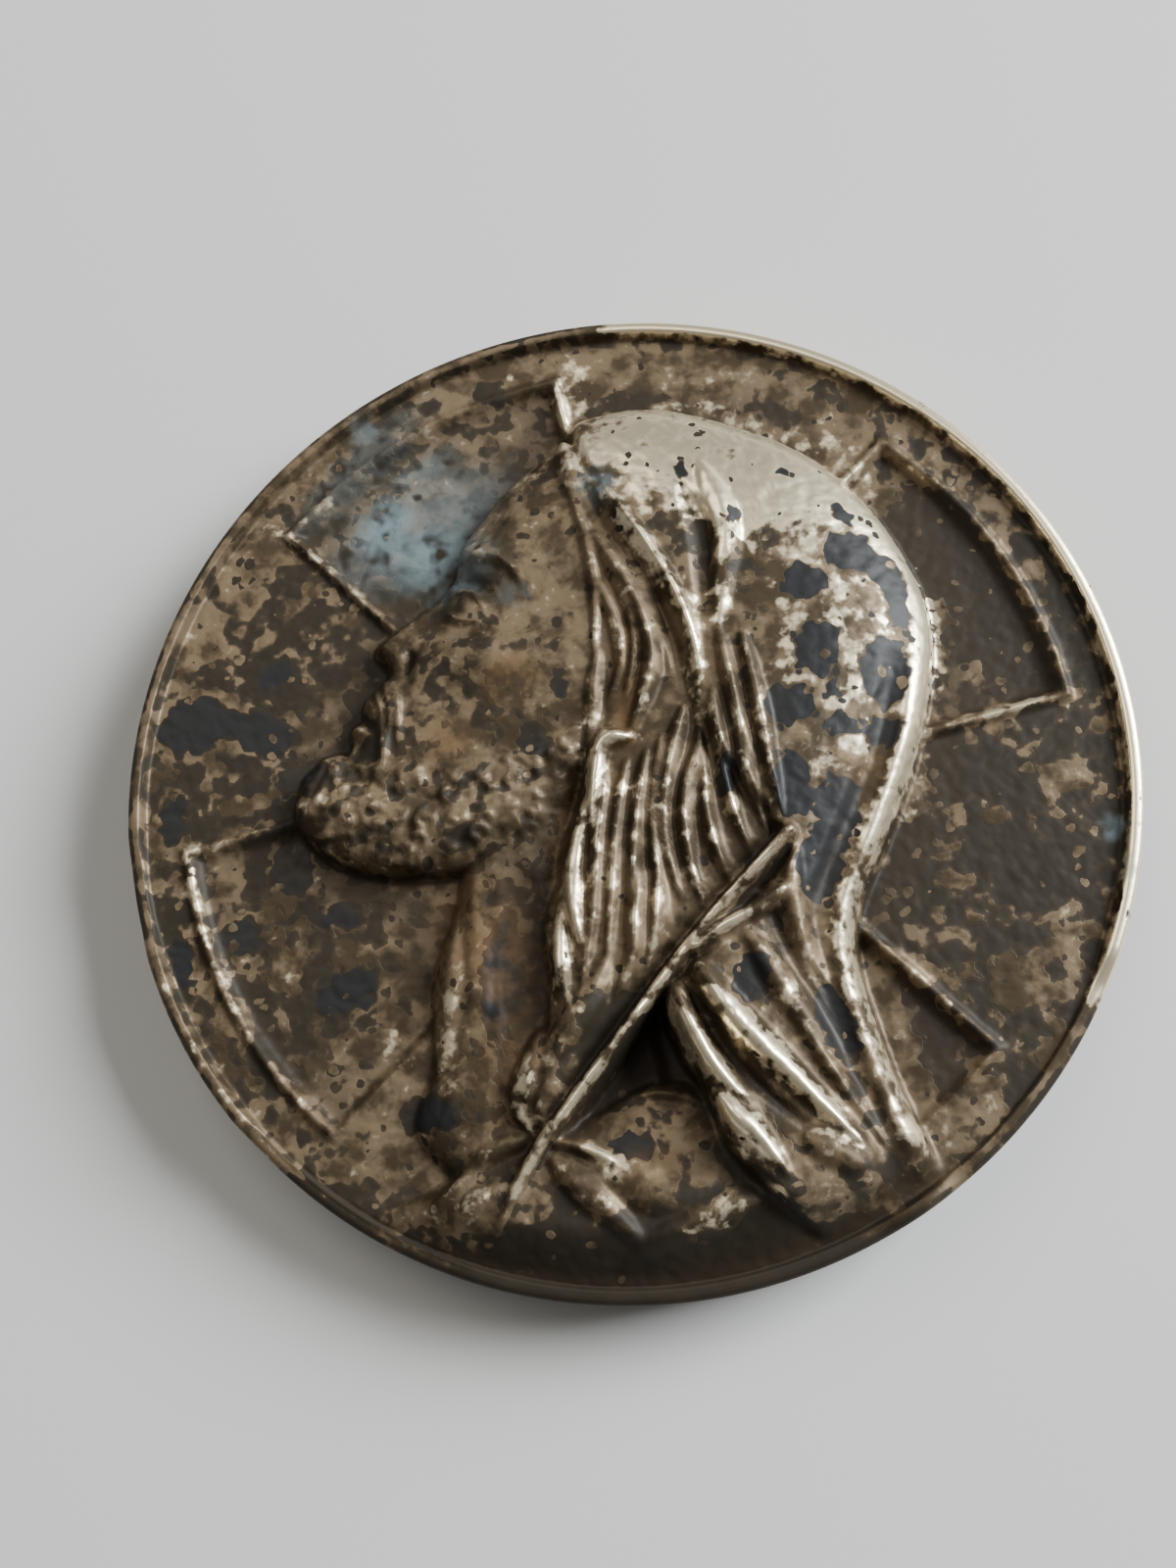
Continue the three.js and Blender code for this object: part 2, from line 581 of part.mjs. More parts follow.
// The flat back rim, the sloping wall of the hollow and its floor
function addBack({ positions, triangles, lastRing }) {
  const rimPoints = sectors * faceRings;
  const mouthPoints = circlePoints(hollowDiameter / 2, hollowSides);
  const floorPoints = circlePoints(hollowDiameter / 2 - hollowDraft, hollowSides);
  const mouth = positions.length / 3;
  mouthPoints.forEach((point) => positions.push(point.x, point.y, 0));
  const floor = positions.length / 3;
  floorPoints.forEach((point) => positions.push(point.x, point.y, hollowDepth));
  const middle = positions.length / 3;
  positions.push(0, 0, hollowDepth);
  const contour = circlePoints(medalRadius - edgeRounding, rimPoints);
  const vertexOf = (index) => (index < rimPoints ? lastRing + index : mouth + index - rimPoints);
  for (const [a, b, c] of THREE.ShapeUtils.triangulateShape(contour, [mouthPoints])) {
    triangles.push(vertexOf(a), vertexOf(c), vertexOf(b));
  }
  for (let i = 0; i < hollowSides; i++) {
    const j = (i + 1) % hollowSides;
    triangles.push(mouth + i, floor + i, mouth + j);
    triangles.push(mouth + j, floor + i, floor + j);
    triangles.push(floor + i, middle, floor + j);
  }
}

function struckBlank() {
  const blank = frontAndEdge();
  addBack(blank);
  const geometry = new THREE.BufferGeometry();
  geometry.setAttribute("position", new THREE.Float32BufferAttribute(blank.positions, 3));
  geometry.setIndex(blank.triangles);
  return geometry;
}

// A low staple whose eye runs along X, so that the medal hangs face out on a thin chain
function bail() {
  const half = bailEyeLength / 2 + bailPost;
  const top = hollowDepth + solderDepth;
  const corner = bailBar / 2;
  const outline = new THREE.Shape();
  outline.moveTo(-half, top);
  outline.lineTo(-half, bailBackClearance + corner);
  outline.lineTo(-half + corner, bailBackClearance);
  outline.lineTo(half - corner, bailBackClearance);
  outline.lineTo(half, bailBackClearance + corner);
  outline.lineTo(half, top);
  outline.lineTo(bailEyeLength / 2, top);
  outline.lineTo(bailEyeLength / 2, bailBackClearance + bailBar);
  outline.lineTo(-bailEyeLength / 2, bailBackClearance + bailBar);
  outline.lineTo(-bailEyeLength / 2, top);
  outline.closePath();
  const geometry = new THREE.ExtrudeGeometry(outline, { depth: bailWidth, bevelEnabled: false });
  geometry.translate(0, 0, -bailWidth / 2);
  geometry.applyMatrix4(new THREE.Matrix4().makeBasis(
    new THREE.Vector3(0, 1, 0),
    new THREE.Vector3(0, 0, 1),
    new THREE.Vector3(1, 0, 0),
  ));
  geometry.translate(0, medalRadius - bailFromTop, 0);
  return geometry;
}

const wasm = await Module();
wasm.setup();

function asSolid(geometry) {
  const bare = geometry.clone();
  bare.deleteAttribute("normal");
  bare.deleteAttribute("uv");
  const merged = mergeVertices(bare);
  return new wasm.Manifold(new wasm.Mesh({
    numProp: 3,
    vertProperties: new Float32Array(merged.attributes.position.array),
    triVerts: new Uint32Array(merged.index.array),
  }));
}

function asGeometry(solid) {
  const mesh = solid.getMesh();
  const geometry = new THREE.BufferGeometry();
  geometry.setAttribute("position", new THREE.BufferAttribute(mesh.vertProperties, 3));
  geometry.setIndex(new THREE.BufferAttribute(mesh.triVerts, 1));
  geometry.computeVertexNormals();
  return geometry;
}

const tarnishedSilver = new THREE.MeshStandardMaterial({
  color: 0x7a6a5a,
  roughness: 0.42,
  metalness: 0.9,
});

const medal = new THREE.Mesh(asGeometry(asSolid(struckBlank()).add(asSolid(bail()))), tarnishedSilver);
medal.name = "struck_medal";

const group = new THREE.Group();
group.add(medal);
export default group;
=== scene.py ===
# A round struck medal worn as a pendant, lying on its back: old silver plate, tarnished brown and
# black in the hollows and rubbed to a warm cream on the crests. Metres, in the medal's own frame.
import math
import bpy
import numpy as np
from mathutils import Euler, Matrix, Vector


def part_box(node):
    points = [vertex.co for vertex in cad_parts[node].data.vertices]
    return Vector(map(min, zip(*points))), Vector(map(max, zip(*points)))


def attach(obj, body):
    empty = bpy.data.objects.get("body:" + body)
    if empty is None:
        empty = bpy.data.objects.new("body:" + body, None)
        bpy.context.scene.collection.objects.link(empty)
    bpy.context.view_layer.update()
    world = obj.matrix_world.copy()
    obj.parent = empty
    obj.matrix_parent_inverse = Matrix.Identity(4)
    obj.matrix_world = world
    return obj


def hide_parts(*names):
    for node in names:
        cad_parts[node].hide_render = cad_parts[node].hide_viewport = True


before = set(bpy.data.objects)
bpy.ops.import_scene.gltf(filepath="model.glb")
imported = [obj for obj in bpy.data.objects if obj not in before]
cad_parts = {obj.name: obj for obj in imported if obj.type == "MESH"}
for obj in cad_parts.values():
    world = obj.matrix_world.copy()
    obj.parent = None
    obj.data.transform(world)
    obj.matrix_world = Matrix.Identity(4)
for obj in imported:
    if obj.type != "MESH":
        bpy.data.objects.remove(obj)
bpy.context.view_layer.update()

MM = 0.001
medal_low, medal_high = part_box("struck_medal")

# Blank, in millimetres: the overall width comes from the frame
medal_radius = (medal_high.x - medal_low.x) / 2 / MM
rim_thickness = 2.7
lip_width = 0.32
lip_height = 0.35
lip_slope = 0.18
edge_rounding = 0.2
field_level = rim_thickness - lip_height
field_radius = medal_radius - lip_width - lip_slope

# Hollow of the back and the bail in it
hollow_radius = 11.5
hollow_depth = 1.5
hollow_draft = 0.4
hollow_chamfer_width = 0.12
hollow_chamfer_height = 0.06
hollow_corner_width = 0.2
hollow_corner_height = 0.15
bail_width = 1.1
bail_bar = 0.6
bail_edge_rounding = 0.14
bail_bend = 0.42
bail_post = 0.9
bail_eye_length = 2.6
bail_from_top = 6.2
bail_back_clearance = 0.12
solder_depth = 0.3

# Cross nimbus. The border stands highest at the ends of its outer arc and wavers along its length
arm_turn = math.radians(30.5)
arm_half_angle = math.radians(21.5)
arm_flare = math.radians(16)
arm_from_rim = 1.65
arm_sink = 0.2
border_width = 0.42
border_height = 0.24
arm_corner_length = 0.9
arm_corner_fade = 1.3
arm_corner_rise = 0.9
border_blend = 0.25
border_waver = 0.25
border_waver_spacing = 1.9

# Figure, as heights above the field and sizes of its details
mantle_relief = 1.7
mantle_rounding = 4.4
edge_roll = 0.5
hair_relief = 1.35
hair_rounding = 1.0
face_relief = 1.35
face_rounding = 3.2
beard_relief = 1.3
beard_rounding = 2.2
neck_relief = 0.7
neck_rounding = 2.4
garment_relief = 0.95
garment_rounding = 2.0
head_height = 14.5
head_tilt = math.radians(28)
head_middle = (0.03 * medal_radius, 0.165 * medal_radius)
hem_width = 0.8
hem_height = 0.3
lock_width = 0.85
lock_height = 0.45
fold_width = 0.9
fold_height = 0.5
cord_width = 0.36
cord_height = 0.35
cord_level = 2.1
cord_skirt = 1.1
curl_diameter = 0.95
curl_height = 0.24
curl_rows = 8
curls_in_row = 18
curl_winding = 6.5
feature_width = 0.5
feature_height = 0.42
relief_run_out = 1.6
strand_pitch = 0.3
strand_height = 0.03
strand_spread = 1.6
die_softness = 0.04

# Shares and reaches that shape the hem, the cord's foot and crest, the pointed strokes, the
# swellings and the joints between the forms
hem_start = 0.3
hem_fade = 0.25
hem_half = 0.5
hem_groove_place = 1.45
hem_groove_depth = 0.6
cord_reach = 1.7
cord_crest_end = 1.1
cord_crest_fade = 0.4
cord_clearance = 0.1
stroke_bend = 0.75
stroke_power = 0.6
stroke_least = 0.05
stroke_window = 2.5
flow_spread = 0.4
swelling_fall = 1.2
soft_fade = 1.3
head_softness = 0.8
beard_softness = 0.5
joint_fade = 0.25
skin_rise = 0.6
whisker_rise = 0.35
figure_rise = 0.4
strand_least = 0.2
curl_most = 0.3

# Fineness of the modelled face, and the room left for its ripples under the frame's top
height_pitch = 0.04
curve_steps = 8
face_rings = 160
sectors = 6
lip_steps = 4
round_steps = 5
surface_play = 0.02

# Hood and mantle as shares of the radius, x and y: their outer contour, then their edge over the
# hair, the cord and the garment
MANTLE_CONTOUR = (
    (-0.1, 0.77), (0.02, 0.795), (0.145, 0.78), (0.345, 0.7), (0.465, 0.605), (0.54, 0.51),
    (0.6, 0.385), (0.622, 0.28), (0.615, 0.175), (0.58, 0.02), (0.52, -0.14), (0.46, -0.28),
    (0.45, -0.37), (0.475, -0.48), (0.52, -0.62), (0.58, -0.75), (0.68, -0.95),
)
MANTLE_EDGE = (
    (-0.1, 0.77), (-0.09, 0.66), (-0.02, 0.53), (0.07, 0.38), (0.13, 0.22), (0.15, 0.08),
    (0.2, -0.02), (0.28, -0.13), (0.3, -0.19), (0.2, -0.31), (0.12, -0.39), (0.08, -0.46),
    (0.11, -0.55), (0.16, -0.64), (0.2, -0.74), (0.3, -0.84), (0.45, -0.98),
)
HAIR = (
    (-0.12, 0.72), (-0.02, 0.64), (0.09, 0.5), (0.17, 0.34), (0.23, 0.24), (0.3, 0.1),
    (0.34, -0.08), (0.31, -0.17), (0.14, -0.34), (-0.01, -0.53), (-0.13, -0.69), (-0.19, -0.63),
    (-0.15, -0.5), (-0.13, -0.3), (-0.1, -0.13), (-0.08, 0.0), (-0.06, 0.16), (-0.05, 0.3),
    (-0.08, 0.44), (-0.14, 0.58),
)
NECK = (
    (-0.3, -0.05), (-0.32, -0.24), (-0.365, -0.4), (-0.36, -0.56), (-0.385, -0.7), (-0.22, -0.8),
    (-0.06, -0.6), (-0.05, -0.3), (-0.05, 0.0),
)
GARMENT = (
    (-0.5, -0.87), (-0.36, -0.8), (-0.26, -0.735), (-0.16, -0.695), (-0.05, -0.66), (0.02, -0.62),
    (0.1, -0.6), (0.2, -0.64), (0.36, -0.78), (0.5, -0.95), (0.1, -1.15), (-0.35, -1.08),
)

# Head in profile as shares of its height: forward of the ear line, up from the chin
HEAD = (
    (0.1, 1.0), (0.26, 0.975), (0.37, 0.9), (0.425, 0.8), (0.447, 0.7), (0.455, 0.62),
    (0.438, 0.55), (0.46, 0.46), (0.5, 0.375), (0.497, 0.342), (0.456, 0.322), (0.458, 0.285),
    (0.468, 0.245), (0.455, 0.215), (0.463, 0.185), (0.443, 0.15), (0.455, 0.07), (0.43, 0.01),
    (0.3, 0.0), (0.12, 0.08), (0.0, 0.25), (-0.2, 0.5), (-0.1, 0.85),
)
# Upper and lower edge of the beard, from the ear to the chin, on the same shares
BEARD_UPPER = (
    (0.06, 0.4), (0.1, 0.32), (0.19, 0.24), (0.29, 0.185), (0.38, 0.15), (0.45, 0.142),
    (0.485, 0.115),
)
BEARD_LOWER = (
    (-0.02, 0.34), (0.02, 0.17), (0.12, 0.045), (0.26, -0.035), (0.38, -0.055), (0.47, -0.02),
    (0.5, 0.06),
)

# Soft swellings and hollows of the face: forward, up, long, high, turn in degrees, rise
FACE_SWELLINGS = (
    (0.405, 0.615, 0.06, 0.03, -12, 0.4),
    (0.33, 0.625, 0.07, 0.028, 8, 0.25),
    (0.22, 0.6, 0.07, 0.09, 0, -0.3),
    (0.385, 0.55, 0.055, 0.024, 0, -0.6),
    (0.415, 0.49, 0.028, 0.045, 20, -0.7),
    (0.372, 0.497, 0.036, 0.03, 0, 0.5),
    (0.393, 0.5, 0.011, 0.014, 0, -0.3),
    (0.355, 0.45, 0.06, 0.018, -18, -0.25),
    (0.29, 0.42, 0.09, 0.055, -28, 0.5),
    (0.27, 0.3, 0.08, 0.06, 30, -0.25),
    (0.458, 0.43, 0.014, 0.07, 24, 0.3),
    (0.444, 0.348, 0.022, 0.02, 0, 0.65),
    (0.478, 0.36, 0.02, 0.016, 20, 0.3),
    (0.466, 0.336, 0.012, 0.005, 0, -0.7),
    (0.41, 0.345, 0.012, 0.035, -20, -0.3),
    (0.447, 0.194, 0.022, 0.012, -6, 0.45),
    (0.438, 0.165, 0.02, 0.01, 0, -0.3),
)
# Fine lines of the face: four points (forward, up), width and rise as shares
FACE_LINES = (
    ((0.415, 0.512), (0.393, 0.53), (0.357, 0.527), (0.31, 0.492), 0.5, 0.65),
    ((0.402, 0.48), (0.38, 0.469), (0.352, 0.47), (0.314, 0.488), 0.4, 0.4),
    ((0.412, 0.55), (0.38, 0.56), (0.345, 0.552), (0.298, 0.515), 0.35, -0.3),
    ((0.43, 0.59), (0.39, 0.61), (0.33, 0.61), (0.26, 0.572), 0.8, 0.35),
    ((0.468, 0.217), (0.448, 0.216), (0.428, 0.213), (0.405, 0.204), 0.35, -0.7),
    ((0.426, 0.375), (0.413, 0.355), (0.414, 0.335), (0.43, 0.322), 0.35, -0.5),
    ((0.47, 0.272), (0.452, 0.252), (0.426, 0.235), (0.392, 0.205), 0.7, 0.6),
    ((0.464, 0.29), (0.44, 0.268), (0.41, 0.24), (0.378, 0.18), 0.8, 0.8),
    ((0.455, 0.305), (0.428, 0.285), (0.395, 0.25), (0.362, 0.18), 0.8, 0.75),
    ((0.438, 0.31), (0.41, 0.29), (0.378, 0.25), (0.345, 0.195), 0.7, 0.6),
    ((0.392, 0.215), (0.375, 0.19), (0.36, 0.16), (0.35, 0.125), 0.8, 0.5),
    ((0.45, 0.175), (0.44, 0.16), (0.43, 0.145), (0.425, 0.125), 0.9, 0.5),
)

# Locks of hair: four points as shares of the radius, width and rise as shares
LOCKS = (
    ((-0.06, 0.61), (0.04, 0.46), (0.135, 0.27), (0.165, 0.03), 1.0, 1.0),
    ((0.165, 0.08), (0.155, -0.02), (0.14, -0.11), (0.15, -0.2), 0.7, 0.6),
    ((-0.05, 0.56), (0.03, 0.42), (0.085, 0.28), (0.12, 0.12), 0.55, 0.35),
    ((-0.05, 0.49), (0.035, 0.34), (0.07, 0.2), (0.02, 0.035), 1.0, 1.1),
    ((0.035, 0.05), (-0.03, 0.04), (-0.045, -0.05), (-0.05, -0.17), 0.85, 1.0),
    ((-0.03, 0.43), (0.025, 0.31), (0.035, 0.22), (0.015, 0.12), 0.6, 0.75),
    ((-0.05, 0.41), (0.0, 0.29), (0.01, 0.2), (-0.02, 0.12), 0.6, 0.7),
    ((-0.09, 0.57), (-0.055, 0.46), (-0.04, 0.34), (-0.045, 0.2), 0.6, 0.5),
    ((-0.035, 0.24), (-0.045, 0.15), (-0.05, 0.07), (-0.07, -0.04), 0.65, 0.5),
    ((0.135, 0.12), (0.1, -0.02), (0.09, -0.14), (0.12, -0.27), 0.75, 0.8),
    ((0.165, 0.05), (0.13, -0.07), (0.135, -0.18), (0.165, -0.29), 0.65, 0.9),
    ((0.09, 0.06), (0.07, -0.08), (0.075, -0.2), (0.1, -0.33), 0.65, 0.7),
    ((0.06, 0.03), (0.04, -0.1), (0.03, -0.22), (0.03, -0.36), 0.75, 0.85),
    ((0.02, 0.01), (0.0, -0.13), (-0.01, -0.26), (-0.02, -0.42), 0.7, 0.7),
    ((-0.02, -0.01), (-0.035, -0.15), (-0.045, -0.29), (-0.07, -0.47), 0.7, 0.65),
    ((-0.06, -0.06), (-0.09, -0.18), (-0.085, -0.27), (-0.06, -0.37), 0.95, 1.1),
    ((-0.09, -0.18), (-0.12, -0.31), (-0.11, -0.4), (-0.08, -0.49), 0.85, 0.95),
    ((0.045, -0.2), (0.035, -0.3), (0.03, -0.38), (-0.01, -0.46), 0.75, 0.8),
    ((0.075, -0.2), (0.075, -0.28), (0.07, -0.34), (0.05, -0.42), 0.55, 0.7),
    ((-0.02, -0.38), (-0.06, -0.47), (-0.11, -0.53), (-0.165, -0.6), 1.2, 0.7),
    ((-0.14, -0.5), (-0.175, -0.59), (-0.185, -0.65), (-0.15, -0.71), 0.9, 1.2),
    ((0.2, 0.26), (0.225, 0.14), (0.24, 0.06), (0.27, -0.03), 0.65, 0.8),
    ((0.245, 0.26), (0.275, 0.1), (0.29, 0.0), (0.315, -0.12), 0.7, 0.85),
    ((0.185, 0.14), (0.2, 0.01), (0.22, -0.09), (0.26, -0.2), 0.65, 0.75),
    ((0.17, 0.03), (0.17, -0.09), (0.19, -0.18), (0.23, -0.27), 0.6, 0.75),
    ((0.225, 0.12), (0.24, 0.02), (0.26, -0.07), (0.29, -0.16), 0.5, 0.55),
)
FOLDS = (
    ((0.17, 0.63), (0.215, 0.5), (0.215, 0.39), (0.2, 0.25), 1.1, 0.5),
    ((0.13, 0.58), (0.17, 0.47), (0.175, 0.38), (0.17, 0.26), 0.9, -0.4),
    ((0.09, -0.41), (0.145, -0.52), (0.185, -0.59), (0.26, -0.67), 0.75, 0.8),
    ((0.14, -0.38), (0.215, -0.49), (0.31, -0.59), (0.46, -0.74), 1.0, 1.1),
    ((0.12, -0.41), (0.17, -0.51), (0.23, -0.59), (0.35, -0.7), 0.6, -0.8),
    ((0.16, -0.62), (0.215, -0.67), (0.25, -0.7), (0.31, -0.78), 0.9, 0.9),
    ((0.33, -0.7), (0.38, -0.725), (0.43, -0.755), (0.49, -0.82), 1.1, 0.6),
    ((-0.13, -0.73), (-0.07, -0.785), (-0.02, -0.83), (0.06, -0.91), 1.1, 0.7),
    ((0.0, -0.94), (0.13, -0.86), (0.19, -0.825), (0.31, -0.8), 1.3, 0.65),
    ((-0.06, -0.73), (0.02, -0.78), (0.1, -0.81), (0.2, -0.79), 1.4, 0.45),
    ((0.335, -0.17), (0.33, -0.27), (0.355, -0.36), (0.39, -0.44), 0.7, 0.6),
    ((0.24, -0.33), (0.3, -0.43), (0.35, -0.5), (0.42, -0.59), 0.9, 0.6),
    ((0.31, -0.46), (0.38, -0.57), (0.43, -0.64), (0.49, -0.74), 0.6, 0.6),
    ((0.27, -0.24), (0.3, -0.34), (0.34, -0.42), (0.4, -0.53), 0.6, -0.5),
    ((-0.15, -0.705), (-0.1, -0.71), (-0.04, -0.73), (0.02, -0.77), 0.6, 0.9),
    ((-0.14, -0.7), (-0.22, -0.72), (-0.29, -0.77), (-0.38, -0.87), 0.7, 0.6),
    ((-0.2, -0.78), (-0.26, -0.82), (-0.31, -0.87), (-0.36, -0.95), 0.9, 0.4),
    ((-0.04, -0.65), (0.03, -0.62), (0.11, -0.625), (0.19, -0.66), 0.5, 0.5),
    ((-0.335, -0.24), (-0.325, -0.37), (-0.32, -0.46), (-0.35, -0.62), 1.0, 0.25),
    ((-0.28, -0.2), (-0.275, -0.38), (-0.28, -0.5), (-0.34, -0.7), 1.1, 0.3),
    ((-0.2, -0.15), (-0.185, -0.36), (-0.19, -0.5), (-0.25, -0.7), 1.6, -0.3),
)
# Cords: four points, width as a share, and the level of the crest at both ends
CORDS = (
    ((0.325, -0.15), (0.15, -0.34), (0.0, -0.53), (-0.13, -0.7), 1.0, 1.0, 0.68),
    ((-0.12, -0.68), (-0.175, -0.77), (-0.21, -0.84), (-0.25, -0.93), 1.0, 0.68, 0.42),
    ((0.31, -0.26), (0.25, -0.3), (0.2, -0.325), (0.14, -0.36), 1.1, 0.93, 0.93),
)

# Rise of each nimbus arm's border, from the upper right arm on to the left: the side before the
# arm, the outer arc and the side after it
ARM_BORDERS = ((1.0, 0.85, 0.9), (1.0, 0.35, 1.15), (0.55, 0.9, 0.2), (0.2, 0.35, 0.9))

# Where the lip is rubbed down: from and to in degrees round from +X, share of its height gone
LIP_WEAR = ((188, 199, 0.5), (224, 252, 0.85), (252, 300, 0.55), (306, 336, 0.6))
# Where it is brighter (above 0) or darker (below 0), on the same terms. The bright stretch on the
# upper right is a painted highlight where the window light falls; the lip is darkest at the bottom
LIP_HIGHLIGHT_AND_DARK = ((-28, 92, 0.8), (92, 200, -0.3), (200, 228, 0.1), (228, 330, -0.5))
wear_fade = 5

# What the finish reads from the relief: how far round a point its crests and its large forms are
# judged, the height that counts in full, and the bright line along the lip
crest_reach = 0.18
crest_full = 0.13
crest_lowest = -1.2
form_reach = 0.9
form_full = 0.5
lip_line_place = medal_radius - lip_width + 0.04
lip_line_half = 0.06
lip_line_crest = 0.9
lip_crest = -0.1
lip_stand = 0.2
lip_line_bare = 0.3
back_bare = 0.3

# Patches: how far out each is laid and where it has faded, as shares of its size, and how far its
# edge wanders, along waves of these spacings and turns
patch_reach = 1.4
patch_edge = 1.35
patch_stir = 0.2
patch_waves = (((0.9, 0.3), (0.43, 1.2)), ((1.1, 2.0), (0.51, 0.1)))

# Islands of film, and the bare shore round each
island_edge = 0.42
island_fade = 0.3
island_cover = 1.2
shore_place = 0.25
shore_width = 0.2
shore_bare = 0.35

# Patches of the finish as shares of the radius: x, y, half length, half width, turn in degrees and
# strength. First come those where bare metal shows, then darker ones: thicker tarnish, and painted
# shadow along the hood's top contour
BARE_PATCHES = (
    (0.24, 0.66, 0.34, 0.17, -12, 0.5), (0.44, 0.2, 0.16, 0.4, 0, 0.3),
    (0.08, -0.1, 0.2, 0.36, 0, 0.6), (0.1, 0.3, 0.1, 0.2, 0, 0.2),
    (0.5, -0.55, 0.06, 0.35, 20, 0.6), (0.33, -0.45, 0.05, 0.06, 0, 0.3),
    (0.28, 0.42, 0.12, 0.1, 0, 0.25), (0.05, -0.757, 0.05, 0.04, 0, 0.5),
    (0.17, -0.78, 0.05, 0.03, 0, 0.5), (0.18, -0.84, 0.08, 0.03, 25, 0.7),
    (0.07, -0.645, 0.08, 0.02, 10, 0.4), (-0.02, -0.69, 0.05, 0.03, 20, 0.4),
    (-0.055, -0.79, 0.06, 0.03, -40, 0.6), (0.4, -0.72, 0.08, 0.03, -35, 0.5),
    (0.47, -0.8, 0.05, 0.025, -30, 0.5), (-0.17, -0.63, 0.04, 0.1, 0, 0.6),
    (0.3, -0.58, 0.2, 0.04, -46, 0.9), (0.16, -0.55, 0.1, 0.025, -58, 0.5),
    (-0.02, 0.88, 0.45, 0.07, 0, 0.22), (-0.1, 0.42, 0.16, 0.22, 30, 0.3),
    (-0.36, -0.55, 0.16, 0.28, 0, 0.22), (-0.79, -0.17, 0.035, 0.08, 0, 0.6),
    (-0.66, -0.38, 0.03, 0.05, 0, 0.6), (-0.73, -0.48, 0.027, 0.06, 15, 0.6),
    (-0.54, -0.36, 0.04, 0.028, 0, 0.6), (-0.53, -0.53, 0.03, 0.03, 0, 0.6),
    (-0.49, -0.6, 0.04, 0.025, 0, 0.6), (-0.45, -0.52, 0.023, 0.036, 0, 0.52),
    (-0.71, -0.03, 0.135, 0.02, 12, 0.68), (-0.6, 0.11, 0.05, 0.06, 0, 0.38),
    (-0.38, -0.55, 0.09, 0.08, 0, 0.38), (-0.41, -0.75, 0.1, 0.04, 0, 0.45),
    (-0.34, -0.42, 0.03, 0.06, 0, 0.52), (-0.3, -0.82, 0.06, 0.05, 0, 0.45),
    (-0.14, 0.91, 0.17, 0.04, 0, 0.38), (0.15, 0.89, 0.14, 0.04, 0, 0.38),
    (0.39, 0.79, 0.08, 0.03, -30, 0.38), (-0.69, 0.69, 0.08, 0.06, 45, 0.3),
    (-0.78, 0.49, 0.06, 0.1, -20, 0.45), (-0.88, 0.32, 0.06, 0.06, 0, 0.45),
    (0.85, -0.03, 0.06, 0.024, 0, 0.52), (0.74, -0.42, 0.05, 0.05, 0, 0.68),
    (0.65, -0.65, 0.05, 0.04, 0, 0.6), (0.8, -0.56, 0.04, 0.04, 0, 0.45),
    (0.56, -0.08, 0.02, 0.08, -10, 0.6), (0.67, 0.32, 0.04, 0.05, 0, 0.52),
    (0.71, 0.19, 0.05, 0.028, 0, 0.45), (0.57, -0.02, 0.06, 0.04, 0, 0.38),
    (-0.02, -0.72, 0.07, 0.04, 0, 0.52), (0.13, -0.69, 0.04, 0.04, 0, 0.45),
    (-0.7, -0.25, 0.017, 0.018, 0, 0.9), (-0.64, -0.28, 0.017, 0.018, 0, 0.9),
    (-0.69, -0.31, 0.017, 0.018, 0, 0.9), (-0.75, -0.35, 0.023, 0.024, 0, 0.9),
    (-0.35, -0.66, 0.015, 0.028, 0, 0.9), (-0.39, -0.21, 0.12, 0.03, -15, 0.45),
    (0.73, -0.1, 0.02, 0.02, 0, 0.75), (0.42, 0.28, 0.04, 0.028, 0, 0.75),
    (0.53, 0.27, 0.03, 0.03, 0, 0.75), (0.57, 0.21, 0.017, 0.018, 0, 0.6),
    (0.45, 0.14, 0.023, 0.036, 0, 0.75), (0.33, 0.2, 0.015, 0.12, 0, 0.75),
    (0.41, 0.03, 0.06, 0.08, 0, 0.45), (0.34, -0.43, 0.04, 0.06, 0, 0.52),
    (0.54, 0.01, 0.027, 0.18, -20, 0.6), (0.29, 0.09, 0.015, 0.14, 0, 0.6),
    (0.49, 0.01, 0.04, 0.03, 0, 0.68),
)
